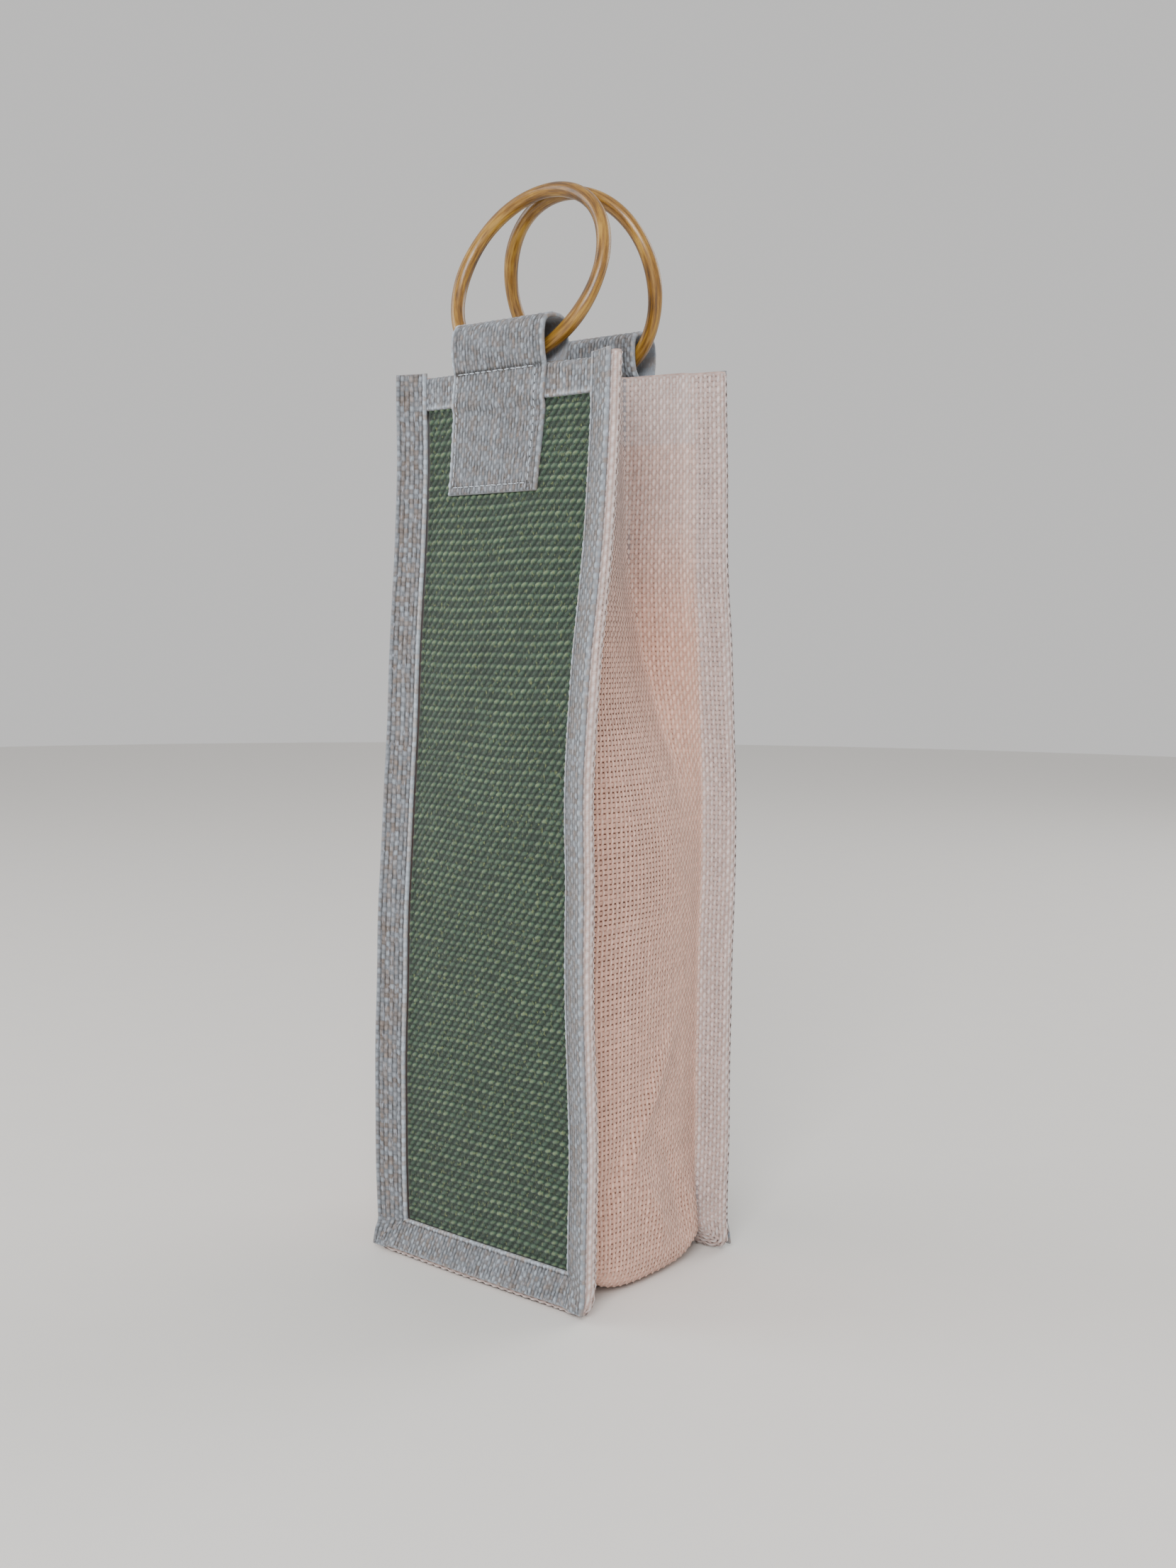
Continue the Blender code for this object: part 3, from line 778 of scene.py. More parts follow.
def film_finish(colours):
    """The film behind the gusset: smooth and a little shiny, its dark colour partly painted shade seen
    through the holes between the yarns.
    """
    finish = Finish("gusset_film")
    clouds = finish.noise(finish.cloth((1.5, 1.5, 1)), 1.0, 3.0)
    body = finish.ramp(clouds, (0.3, 0.7), (scaled(colours.film, 0.75), scaled(colours.film, 1.25)))
    behind = finish.blend("MIX", finish.attribute("doubled"), body, (0.27, 0.25, 0.26, 1))
    finish.set(Base_Color=behind, Roughness=0.45)
    finish.set(Normal=finish.bump(clouds, 0.3, 0.3 * MM))
    return finish.material


def thread_finish(colours):
    """The sewing thread: pale and bluish, twisted."""
    finish = Finish("sewing_thread")
    twist = finish.node("TexWave", {"Vector": finish.cloth((20, 20, 1)), "Scale": 1.0, "Distortion": 0.5})
    tints = (scaled(colours.thread, 0.7), colours.thread)
    body = finish.ramp(twist.outputs["Fac"], (0.0, 1.0), tints)
    finish.set(Base_Color=body, Roughness=0.6, Sheen_Weight=0.2)
    return finish.material


def floor_finish(colours):
    """The studio floor: pale and matt."""
    finish = Finish("studio_floor")
    place = finish.node("TexCoord").outputs["Object"]
    tints = (scaled(colours.floor, 0.99), colours.floor)
    body = finish.ramp(finish.noise(place, 40.0, 2.0), (0.3, 0.7), tints)
    finish.set(Base_Color=body, Roughness=0.7)
    return finish.material


# The green panels

# How plainly the rows pair up into ribs, up the panel
RIBS = table(
    "height depth",
    (0.05, 0.85),
    (0.2, 0.65),
    (0.3, 0.50),
    (0.55, 0.60),
    (0.7, 0.90),
    (1.0, 1.0),
)
BUMP_TILT = 0.50
BUMP_HEIGHT = 0.95 * MM
RIB_HEIGHT = 0.22 * MM


def build_panel(side, weave, colours):
    """One green panel: staggered rows of plump bumps, two rows to a rib, on a cloth 2 mm thick."""
    half = SEAM_HALF - BINDING_LAP + UNDER_TAPE
    seam = seam_height(side)
    low = seam + BINDING_LAP - UNDER_TAPE
    high = BAND_FOOT + UNDER_BAND
    columns, rows = int(2 * half / weave.green_bump), int((high - low) / weave.green_row)
    p, q = yarn_grid(columns, rows)
    x = -half + p * (2 * half / columns)
    z = low + q * ((high - low) / rows)
    knots_x, knots_z = np.linspace(-1, 1, 13), np.linspace(low, high, 60)
    coarse = cage([[on_panel(side, a, up - seam, PANEL_CLOTH) for a in knots_x] for up in knots_z])
    base = across_columns(smooth, knots_x * SEAM_HALF, smooth(knots_z, coarse, z[:, 0]), x[0])
    wobble = 0.35 * MM * (np.sin(60 * x + 21 * z) + 0.7 * np.sin(131 * x - 47 * z + 1.0))
    calm, fade = 6 * MM, 0.9 * MM
    base[..., 2] += wobble * np.clip((z - low) / calm, 0, 1) * np.clip((high - z) / calm, 0, 1)

    line = np.floor(q + 1e-6).astype(int)
    second_row = line % 2
    place = p + 0.5 * second_row
    each = np.floor(place + 1e-6).astype(int)
    counts = (line.max() + 2, each.max() + 2)
    chance = np.random.default_rng(11 if side == FRONT else 12)
    plump = chance.uniform(0.55, 1.12, counts)[line, each]
    tone = chance.uniform(0, 1, counts)[line, each]
    dx = 2 * (place - each) - 1
    dy = 2 * (q - line) - 1
    round_form = np.clip(1 - (dx - BUMP_TILT * dy) ** 2 * 1.35 - dy**2 * 0.85, 0, 1) ** 0.85
    ribs = read(RIBS, "depth", z / BAG_HEIGHT, straight)
    rib = 0.5 - 0.5 * np.cos(math.pi * (q + 0.5))
    bumps = plump * (1 - 0.42 * ribs * second_row) * round_form
    relief = BUMP_HEIGHT * bumps + RIB_HEIGHT * ribs * rib
    # Painted shade: where the ribs show, the lower second row of each rib is darkened.
    tone = np.clip(0.75 * tone + 0.25 - 0.45 * ribs * second_row, 0, 1)
    to_edge = np.minimum(np.minimum(x + half, half - x), np.minimum(z - low, high - z))
    relief *= np.clip(to_edge / fade, 0.05, 1)
    if side == BACK:
        base, relief, tone = base[:, ::-1], relief[:, ::-1], tone[:, ::-1]
    name = side + "_panel_weave"
    normals = outer_normals(base, (0, OUTWARDS[side], 0))
    mesh = woven_slab(name, base, normals, relief, tone, flat_uv(x, z), PANEL_CLOTH, 0.1 * MM)
    material = jute(side + "_green_jute", palette(colours, "green"), (0.22, 0.26, 0.10), (22, 9))
    dress(new_object(name, mesh), material, nodes=[side + "_panel"])


# The tapes


def tape_jute(name, colours):
    return jute(name, palette(colours, "tape"), (0.52, 0.56, 0.66), (34, 5), mixed=True)


def edge_form(across, width, groove):
    """How a folded and stitched tape swells at its inner edge and is drawn in along its stitches."""
    bead = 0.30 * MM * ridge(across, 0.9 * MM, 0.8 * MM)
    drawn = -0.14 * MM * ridge(across, groove, GROOVE_WIDTH)
    outer = 0.15 * MM * ridge(across, width, 0.8 * MM)
    return bead + drawn + outer


def tape_slab(name, side, knots_across, stations, points, seed, weave, crossways=False):
    """One straight length of tape, as a woven slab through coarse rows of points.

    Its warp yarns run along it, or across it where it is cut crossways.
    """
    width, length = knots_across[-1], stations[-1]
    if crossways:
        warps, wefts = round(length / weave.tab_warp), round(width / weave.weft)
        p, q = yarn_grid(wefts, warps, 4, 3)
        across, along = p * width / wefts, q * length / warps
        relief, tone = plain_weave(q, p, seed)
        uv = flat_uv(along, across)
    else:
        warps, wefts = round(width / weave.tape_warp), round(length / weave.weft)
        p, q = yarn_grid(warps, wefts)
        across, along = p * width / warps, q * length / wefts
        relief, tone = plain_weave(p, q, seed)
        uv = flat_uv(across, along)
    fine = smooth(stations, points, along[:, 0])
    base = soften(across_columns(straight, knots_across, fine, across[0]), 1, 3)
    normals = outer_normals(base, (0, OUTWARDS[side], 0))
    relief += edge_form(across, width, TAPE_STITCHES)
    return woven_slab(name, base, normals, relief, tone, uv, TAPE_CLOTH)


def cut_mitre(mesh, point, normal):
    """Cuts a tape off at the fold of its corner and closes the cut."""
    with edited(mesh) as shape:
        every = shape.verts[:] + shape.edges[:] + shape.faces[:]
        bmesh.ops.bisect_plane(shape, geom=every, plane_co=point, plane_no=normal, clear_outer=True)
        close_up(shape)


def mitre_plane(side, way):
    """The upright plane through the fold at a foot corner: a point, and the way from the side tape."""
    inner = on_panel(side, way * (1 - BINDING_LAP / SEAM_HALF), BINDING_LAP, TAPE_LEVEL)
    reach = 1 - BINDING_SETBACK / SEAM_ALLOWANCE
    outer = on_panel(side, way * (1 + reach), -reach, TAPE_LEVEL)
    fold = Vector((outer.x - inner.x, 0, outer.z - inner.z)).normalized()
    return inner, Vector((way * fold.z, 0, -way * fold.x))


def build_binding(side, weave, colours):
    """The tape over one panel's seams: two sides and a foot, mitred at the corners."""
    reach = 1 - BINDING_SETBACK / SEAM_ALLOWANCE
    lap = 1 - BINDING_LAP / SEAM_HALF
    seam = seam_height(side)
    knots = [0, TAPE_TURNED, BINDING_LAP, BINDING_LAP + reach * SEAM_ALLOWANCE]

    def turned_in(up):
        """The level of the tape's inner edge: on the cloth, but up on the band where it crosses it."""
        return TAPE_LEVEL - TAPE_DROP * min(max((BAND_FOOT - seam - up) / (3 * MM), 0), 1)

    heights = np.array([-reach, -0.5 * reach, 0, *np.linspace(4 * MM, BAG_HEIGHT - seam, 70)])
    flat = np.where(heights < 0, heights * fin_reach(side, "foot")[0], heights)
    meshes = []
    for way in (-1, 1):
        rows = []
        for up in heights:
            beside = (lap + TAPE_TURNED / SEAM_HALF, 1, 1 + reach)
            row = [on_panel(side, way * across, up, TAPE_LEVEL) for across in beside]
            rows.append([on_panel(side, way * lap, up, turned_in(up))] + row)
        mesh = tape_slab(side + "_tape", side, knots, flat - flat[0], cage(rows), 21 + way, weave)
        inner, normal = mitre_plane(side, way)
        cut_mitre(mesh, inner, normal)
        meshes.append(mesh)
    fin = [1, 1 + reach / 2, 1 + reach]
    rows = []
    for across in (*[-place for place in fin[::-1]], *np.linspace(-0.93, 0.93, 20), *fin):
        row = [on_panel(side, across, up, TAPE_LEVEL) for up in (BINDING_LAP - TAPE_TURNED, 0, -reach)]
        rows.append([on_panel(side, across, BINDING_LAP, turned_in(BINDING_LAP))] + row)
    rows = cage(rows)
    foot = tape_slab(side + "_tape", side, knots, reached(rows[:, 2]), rows, 25, weave, crossways=True)
    for way in (-1, 1):
        inner, normal = mitre_plane(side, way)
        cut_mitre(foot, inner, -normal)
    piece = join(side + "_binding_tape", [*meshes, foot])
    dress(piece, tape_jute(side + "_tape_jute", colours), nodes=[side + "_binding"])


def build_band(side, weave, colours):
    """The tape folded over one panel's top edge."""
    half = SEAM_HALF - BAND_END - CLEARANCE
    acrosses = np.linspace(-half, half, 15) / SEAM_HALF
    middle = (BAND_FOOT + BAND_TOP) / 2
    outside = [
        (BAND_FOOT, BAND_LEVEL),
        (middle, BAND_LEVEL),
        (BAND_TOP - BAND_ROUNDING, BAND_LEVEL),
        (BAND_TOP, BAND_LEVEL - BAND_ROUNDING),
    ]
    inside = [
        (BAND_TOP, BAND_BACK_LEVEL + BAND_ROUNDING),
        (BAND_TOP - BAND_ROUNDING, BAND_BACK_LEVEL),
        (middle, BAND_BACK_LEVEL),
        (BAND_FOOT, BAND_BACK_LEVEL),
    ]
    seam = seam_height(side)
    rows = cage([[on_panel(side, a, z - seam, level) for a in acrosses] for z, level in outside + inside])
    stations = reached(rows[:, 7])
    warps, wefts = round(2 * half / weave.tab_warp), round(stations[-1] / weave.weft)
    p, q = yarn_grid(warps, wefts, 3, 4)
    x = -half + p * (2 * half / warps)
    along = q * stations[-1] / wefts
    base = across_columns(smooth, acrosses * SEAM_HALF, straight(stations, rows, along[:, 0]), x[0])
    base = soften(base, 0, 3)
    relief, tone = plain_weave(p, q, 31)
    relief += 0.25 * MM * ridge(along, 0.8 * MM, 0.8 * MM)
    normals = outer_normals(base, (0, OUTWARDS[side], 0), (1, 1))
    mesh = woven_slab(side + "_band", base, normals, relief, tone, flat_uv(x, along), TAPE_CLOTH)
    piece = new_object(side + "_top_band_tape", mesh)
    dress(piece, tape_jute(side + "_band_jute", colours), nodes=[side + "_top_band"])


# The tabs


def tab_path():
    """A tab's outer face from the foot of its outer leg to the foot of its inner leg, as (level, height)."""
    foot = BAND_TOP - TAB_LEG
    path = [(TAB_LOW_LEVEL, z) for z in np.linspace(foot, BAND_FOOT - 3 * MM, 8)]
    path += [(TAB_LEVEL, z) for z in (BAND_FOOT - CLEARANCE, BAND_FOOT + 6 * MM, BAND_TOP - 1.0 * MM)]
    for depth, height in zip(LOOP["depth"], LOOP["height"]):
        path.append((LOOP_DEPTH / 2 * depth - LOOP_INSET, BAND_TOP + LOOP_HEIGHT * height))
    path += [(TAB_BACK_LEVEL, z) for z in (BAND_TOP - 3 * MM, *np.linspace(BAND_FOOT, foot, 8))]
    return path


def tab_point(side, level, z, place):
    """A point of a tab's outer face. place runs from -0.5 at its left edge to 0.5 at its right edge."""
    outer_leg = level > 0 and z < BAND_TOP
    shear = TAB_SHEAR * (BAND_TOP - z) / TAB_LEG if outer_leg else 0
    x = TAB_OFFSET[side] - shear + TAB_WIDTH * place
    lower = on_panel(side, x / SEAM_HALF, min(z, BAND_TOP) - seam_height(side), level)
    return Vector((lower.x, lower.y, z))


def build_tab(side, weave, colours):
    """One tab: a folded and stitched strip of close cloth, with its loop for the ring."""
    places = np.linspace(-0.5, 0.5, 9)
    rows = cage([[tab_point(side, level, z, place) for place in places] for level, z in tab_path()])
    stations = reached(rows[:, 4])
    warps, wefts = round(TAB_WIDTH / weave.tab_warp), round(stations[-1] / weave.weft)
    p, q = yarn_grid(warps, wefts, 3, 4)
    across = p * TAB_WIDTH / warps
    along = q * stations[-1] / wefts
    fine = smooth(stations, rows, along[:, 0])
    base = across_columns(smooth, (places + 0.5) * TAB_WIDTH, fine, across[0])
    relief, tone = plain_weave(p, q, 41 if side == FRONT else 42)
    relief += edge_form(across, TAB_WIDTH, TAB_STITCHES["left"])
    relief -= 0.12 * MM * ridge(across, TAB_WIDTH - TAB_STITCHES["right"], GROOVE_WIDTH)
    relief -= 0.12 * MM * ridge(along, TAB_STITCHES["foot"], GROOVE_WIDTH)
    relief -= 0.35 * MM * ridge(along, TAB_LEG, 0.7 * MM)
    normals = outer_normals(base, (0, OUTWARDS[side], 0), (2, 2))
    mesh = woven_slab(side + "_tab", base, normals, relief, tone, flat_uv(across, along), TAB_CLOTH)
    piece = new_object(side + "_tab_cloth", mesh)
    dress(piece, tape_jute(side + "_tab_jute", colours), nodes=[side + "_tab"])


# The gusset

# Points of a section through a fin, from under the tape to the seam
FIN_POINTS = 7
# How far in from its edges the gusset lies double
FIN_WIDTH = SEAM_ALLOWANCE + 6 * MM


def fin_line(side, seam, edge):
    """The gusset's way through a fin, from under the tape round the fin's edge to the seam."""

    def between(share, level):
        return on_panel(side, mix(seam[0], edge[0], share), mix(seam[1], edge[1], share), level)

    near_edge = 1 - FIN_ROUNDING / SEAM_ALLOWANCE
    return [
        between(0.75, HEM_LEVEL),
        between(near_edge, HEM_LEVEL),
        between(1, HEM_LEVEL - FIN_FALL),
        between(1, FLANGE_LEVEL + FIN_FALL),
        between(near_edge, FLANGE_LEVEL),
        between(0.5, FLANGE_LEVEL),
        between(0, FLANGE_LEVEL),
    ]


def section(front, back, way, out, drop):
    """A whole section of the gusset: one fin, the wall pushed out and down, the other fin."""
    front, back = np.array(front), np.array(back)
    wall = front[-1] + (back[-1] - front[-1]) * WALL[:, None]
    wall[:, 0] += way * out
    wall[:, 2] -= (wall[:, 2] - BASE_LIFT) * drop
    return np.concatenate([front, wall, back[::-1]])


def creases(z):
    """Small folds of the gusset's wall at one height, in metres outwards."""
    share = z / BAG_HEIGHT
    total = np.zeros_like(WALL)
    for fold in GUSSET_FOLDS:
        middle = fold["along"] + fold["slant"] * (share - fold["height"])
        near = ridge(WALL, middle, fold["width"]) * ridge(share, fold["height"], fold["reach"])
        total += fold["out"] * MM * near
    return total


def side_line(way, z):
    """The gusset's whole section at one height of the bag's side."""
    fins = []
    for side in (FRONT, BACK):
        up = z - seam_height(side)
        fins.append(fin_line(side, (way, up), (2 * way, up)))
    share = z / BAG_HEIGHT
    foot = max(1 - z / FOOT_BULGE_HEIGHT, 0)
    slanted = np.minimum(share + PINCH_SLANT * (WALL - 0.5), 1)
    pinch = read(GUSSET_FORM, "pinch", slanted) * read(GUSSET_SECTION, "pinch", WALL, straight)
    belly = read(GUSSET_FORM, "belly", share) * read(GUSSET_SECTION, "belly", WALL)
    out = mix(BODY_DEPTH * (belly - pinch), FOOT_BULGE * read(GUSSET_SECTION, "foot", WALL), foot)
    return section(*fins, way, out + creases(z), 0)


def bottom_line(way, seam, edge, bulge, sag):
    """The gusset's whole section below its sides."""
    fins = [fin_line(side, seam, edge) for side in (FRONT, BACK)]
    out = bulge * FOOT_BULGE * read(GUSSET_SECTION, "foot", WALL)
    return section(*fins, way, out, sag * read(GUSSET_SECTION, "sag", WALL))


def corner_line(way, turn):
    """The gusset's whole section where it turns under the bag. turn runs from 0 to 1."""
    round_edge = [(2, 0), (2, -0.5), (2, -0.86), (1.95, -0.96), (1.86, -1), (1.5, -1), (1, -1)]
    across, up = straight([0, 0.25, 0.43, 0.5, 0.57, 0.75, 1], round_edge, turn)
    bulge, sag = (float(read(FOOT_TURN, name, turn)) for name in ("bulge", "sag"))
    return bottom_line(way, (way, 0), (way * across, up), bulge, sag)


def base_line(across):
    """The gusset's whole section under the bag."""
    return bottom_line(0, (across, 0), (across, -1), 0, 1)


def gusset_sheet(way, weave):
    """Points where the gusset's yarns cross, from the mouth down one side to the middle of the base."""
    pitch = weave.weft
    heights = np.arange(GUSSET_TOP - 0.4 * pitch, 19 * MM, -pitch)
    lines = [side_line(way, z) for z in heights]
    turning = [lines[-1]] + [corner_line(way, turn) for turn in np.linspace(0, 1, 13)]
    turning += [base_line(way * across) for across in (0.9, 0.75, 0.5, 0.25, 0)]
    turning = np.array(turning)
    stations = reached(turning[:, len(WALL) // 2 + FIN_POINTS])
    wefts = int(stations[-1] / pitch)
    bottom = straight(stations, turning, np.linspace(0, stations[-1], wefts + 1)[1:])
    warps = int(reached(base_line(0))[-1] / weave.gusset_warp)
    rows = []
    for line in [*lines, *bottom]:
        knots = reached(line)
        places = np.linspace(0, knots[-1], warps + 1)
        inside = np.clip((places - FIN_WIDTH) / (knots[-1] - 2 * FIN_WIDTH), 0, 1)
        lean = BODY_DEPTH * read(WARP_LEAN, "lean", line[:, 2].mean() / BAG_HEIGHT, straight)
        rows.append(straight(knots, line, places + lean * np.sin(math.pi * inside)))
    points = soften(soften(np.array(rows), 1, 1), 0, 2)
    points[..., 2] = np.maximum(points[..., 2], FLOOR_GAP)
    return points


def lies_double(points):
    """1 where the gusset looks grey, at its fins, its hem and partly at its upper end, else 0."""
    places = reached(points)
    from_edge = np.minimum(places, places[:, -1:] - places)
    z = points[..., 2]
    fins = np.clip((FIN_WIDTH - from_edge) / (1.5 * MM), 0, 1)
    hem = np.clip((z - GUSSET_TOP + 2 * GUSSET_HEM_HEIGHT) / (1.5 * MM), 0, 1)
    # Towards the upper end the grey tint rises to 0.7 as well, where the cloth is single.
    upper = 0.7 * np.clip((z - 0.70 * BAG_HEIGHT) / (0.15 * BAG_HEIGHT), 0, 1)
    return np.maximum(np.maximum(fins, hem), upper)


# How the gusset's yarns lie: their width, their lift over a crossing, how round they are, and how pale a
# painted highlight their crowns get where they cross over
WEFT_FORM = {"width": 1.00, "lift": 0.07 * MM, "crown": 0.12 * MM, "painted_highlight": 0.10}
WARP_FORM = {"width": 0.92, "lift": 0.30 * MM, "crown": 0.26 * MM, "painted_highlight": 0.50}


def yarn_strips(name, points, normals, over, doubled, width, form, chance):
    """Yarns along the rows of a grid of crossings, over where over is true, as one mesh from arrays.

    Each yarn is a strip with a raised middle line and a point at each crossing.
    """
    yarns, crossings = points.shape[:2]
    width = width * form["width"]
    sideways = np.cross(np.gradient(points, axis=1), normals)
    sideways /= np.maximum(np.linalg.norm(sideways, axis=2, keepdims=True), NEAR_ZERO)
    up = np.where(over, 1.0, -1.0)
    turns = np.arange(crossings) * (0.08 + 0.10 * chance.uniform(0, 1, (yarns, 1)))
    start = chance.uniform(0, 6, (yarns, 1))
    wide = 0.5 * width * (1 + 0.09 * np.sin(turns + start)) * (1 + 0.06 * doubled)
    stray = 0.06 * width * np.sin(0.6 * turns + 2 * start)
    centre = points + normals * (form["lift"] * up)[..., None] + sideways * stray[..., None]
    left = centre - sideways * wide[..., None]
    right = centre + sideways * wide[..., None]
    ridge_line = centre + normals * (form["crown"] * chance.uniform(0.8, 1.2, (yarns, 1)))[..., None]
    strip = np.stack([left, ridge_line, right], axis=1)
    every = (yarns, 3, crossings)
    corner = np.arange(strip.size // 3).reshape(every)
    a, b = corner[:, :-1, :-1], corner[:, :-1, 1:]
    c, d = corner[:, 1:, 1:], corner[:, 1:, :-1]
    faces = np.stack([a, d, c, b], axis=-1).reshape(-1, 4)
    tone = 0.3 * chance.uniform(0, 1, (yarns, 1, 1)) + 0.7 * chance.uniform(0, 1, (yarns, 1, crossings))
    # Painted shade and highlight: each strip's sides take a darker colour, and its middle a paler one where
    # it crosses over.
    edge, middle = 0.25 + 0.15 * over, 0.45 + form["painted_highlight"] * over
    lines = np.array([-0.5, 0, 0.5])[:, None] * width
    u = np.broadcast_to(lines + chance.uniform(0, 0.5, (yarns, 1, 1)), every)
    v = np.broadcast_to(reached(points)[:, None], every)
    mesh = bpy.data.meshes.new(name)
    mesh.vertices.add(strip.size // 3)
    mesh.vertices.foreach_set("co", strip.reshape(-1).astype(np.float32))
    mesh.loops.add(faces.size)
    mesh.loops.foreach_set("vertex_index", faces.ravel().astype(np.int32))
    mesh.polygons.add(len(faces))
    mesh.polygons.foreach_set("loop_start", (4 * np.arange(len(faces))).astype(np.int32))
    mesh.update(calc_edges=True)
    mesh.validate()
    store(mesh, "relief", np.stack([edge, middle, edge], axis=1))
    store(mesh, "tone", np.broadcast_to(tone, every))
    store(mesh, "doubled", np.repeat(doubled[:, None], 3, axis=1))
    store_uv(mesh, flat_uv(u, v))
    mesh.shade_smooth()
    return mesh


def turn_out(mesh, points, normals):
    """Turns a mesh's faces over if its middle one looks against the nearest of some normals."""
    middle = mesh.polygons[len(mesh.polygons) // 2]
    gaps = np.linalg.norm(points - np.array(middle.center), axis=2)
    nearest = normals[np.unravel_index(gaps.argmin(), gaps.shape)]
    if middle.normal @ Vector(nearest) < 0:
        mesh.flip_normals()


def build_gusset(weave, colours):
    """The gusset: open plain weave over a film, down both sides and under the bag."""
    # The gusset's colours hold painted shade and highlight, and a salmon tint that is partly painted warm
    # bounce light.
    tints = palette(colours, "gusset")
    material = jute("natural_jute", tints, (0.66, 0.48, 0.36), (40, 5), patch=0.08, doubled=True)
    behind, double = [], []
    for way, name in ((1, "right"), (-1, "left")):
        points = gusset_sheet(way, weave)
        rows, columns = points.shape[:2]
        normals = outer_normals(points, (way, 0, 0), (5, columns // 2))
        over = (np.arange(rows)[:, None] + np.arange(columns)) % 2 == 0
        doubled = lies_double(points)
        chance = np.random.default_rng(50 + way)
        sunk = points - normals * YARN_SINK
        crossed = [grid.swapaxes(0, 1) for grid in (sunk, normals, over, doubled)]
        weft = yarn_strips(name, sunk, normals, ~over, doubled, weave.gusset_yarn, WEFT_FORM, chance)
        warp = yarn_strips(name, *crossed, weave.gusset_yarn, WARP_FORM, chance)
        for mesh in (weft, warp):
            turn_out(mesh, points, normals)
        dress(join("gusset_weave_" + name, [weft, warp]), material)
        behind.append(points - normals * FILM_DEPTH)
        double.append(doubled)
    every_second = np.s_[::2, ::2]
    points = np.concatenate([behind[0], behind[1][::-1][1:]])[every_second]
    doubled = np.concatenate([double[0], double[1][::-1][1:]])[every_second]
    mesh = grid_mesh("gusset_film", points)
    store(mesh, "doubled", doubled)
    face_out(mesh)
    rows, columns = doubled.shape
    step = 2 * weave.weft
    store_uv(mesh, flat_uv(*np.meshgrid(np.arange(columns) * step, np.arange(rows) * step)))
    mesh.shade_smooth()
    piece = new_object("gusset_film", mesh)
    wall = piece.modifiers.new("Film", "SOLIDIFY")
    wall.thickness = FILM_THICKNESS
    wall.offset = -1
    dress(piece, film_finish(colours), nodes=["gusset"])


def face_out(mesh):
    """Turns a mesh's faces away from the middle of the bag."""
    centre = Vector((0, 0, 0.5 * BAG_HEIGHT))
    away = sum((part.center - centre).dot(part.normal) * part.area for part in mesh.polygons)
    if away < 0:
        mesh.flip_normals()


# The stitches


def stitch_mesh(side, points, length, seed):
    """A row of stitches along a line of points, as joined copies of one small spindle."""
    chance = np.random.default_rng(seed)
    line = np.array(points)
    places = reached(line)
    count = int((places[-1] + STITCH_GAP) / (length + STITCH_GAP))
    middles = (np.arange(count) + 0.5) * (length + STITCH_GAP) + chance.uniform(-0.1, 0.1, count) * MM
    centre = straight(places, line, middles)
    heading = straight(places, line, middles + length / 2) - straight(places, line, middles - length / 2)
    heading /= np.linalg.norm(heading, axis=1, keepdims=True)
    sideways = np.cross(heading, (0.0, OUTWARDS[side], 0.0))
    sideways /= np.linalg.norm(sideways, axis=1, keepdims=True)
    facing = np.cross(sideways, heading)
    heading = heading + sideways * chance.uniform(-0.12, 0.12, (count, 1))
    shape = bmesh.new()
    bmesh.ops.create_uvsphere(shape, u_segments=6, v_segments=5, radius=1)
    spindle = np.array([tuple(corner.co) for corner in shape.verts])
    faces = [[corner.index for corner in part.verts] for part in shape.faces]
    shape.free()
    size = length * chance.uniform(0.46, 0.56, (count, 1, 1))
    across, out, ahead = spindle.T[:, None, :, None]
    corners = (
        centre[:, None]
        + heading[:, None] * ahead * size
        + sideways[:, None] * across * STITCH_THICKNESS
        + facing[:, None] * (out * 0.75 + 0.25) * STITCH_THICKNESS
    ).reshape(-1, 3)
    mesh = bpy.data.meshes.new("stitch")
    whole = [[corner + len(spindle) * copy for corner in part] for copy in range(count) for part in faces]
    mesh.from_pydata(corners.tolist(), [], whole)
    mesh.update()
    store_uv(mesh, corners[:, [0, 2]])
    mesh.shade_smooth()
    return mesh


def build_stitches(weave, colours):
    """The sewing that shows: along each tape's inner edge and foot seam, and round each tab."""
    material = thread_finish(colours)
    for side in (FRONT, BACK):
        level = TAPE_LEVEL + 0.02 * MM
        inner = 1 - (BINDING_LAP - TAPE_STITCHES) / SEAM_HALF
        heights = np.linspace(BINDING_LAP, BAG_HEIGHT - seam_height(side) - 1 * MM, 90)
        meshes = []
        for way in (-1, 1):
            line = [on_panel(side, way * inner, up, level) for up in heights]
            meshes.append(stitch_mesh(side, line, weave.stitch, 60 + way))
        line = [on_panel(side, across, 0.1 * MM, level) for across in np.linspace(-0.99, 0.99, 40)]
        meshes.append(stitch_mesh(side, line, weave.stitch, 64))
        dress(join(side + "_tape_stitches", meshes), material)

        foot = BAND_TOP - TAB_LEG + TAB_STITCHES["foot"]
        left = TAB_STITCHES["left"] / TAB_WIDTH - 0.5
        right = 0.5 - TAB_STITCHES["right"] / TAB_WIDTH
        meshes = []
        for place in (left, right):
            heights = np.linspace(BAND_TOP - 1 * MM, foot, 24)
            line = [tab_point(side, leg_level(z) + 0.2 * MM, z, place) for z in heights]
            meshes.append(stitch_mesh(side, line, weave.stitch, 70))
        for z in (foot, BAND_TOP - 0.6 * MM):
            level = leg_level(z) + 0.15 * MM
            line = [tab_point(side, level, z, place) for place in np.linspace(left, right, 12)]
            meshes.append(stitch_mesh(side, line, weave.stitch, 72))
        dress(join(side + "_tab_stitches", meshes), material)


def leg_level(z):
    """The level of a tab's outer leg, which rises where it comes up over the band."""
    return float(np.interp(z, [BAND_FOOT - 3 * MM, BAND_FOOT], [TAB_LOW_LEVEL, TAB_LEVEL]))


# The rings


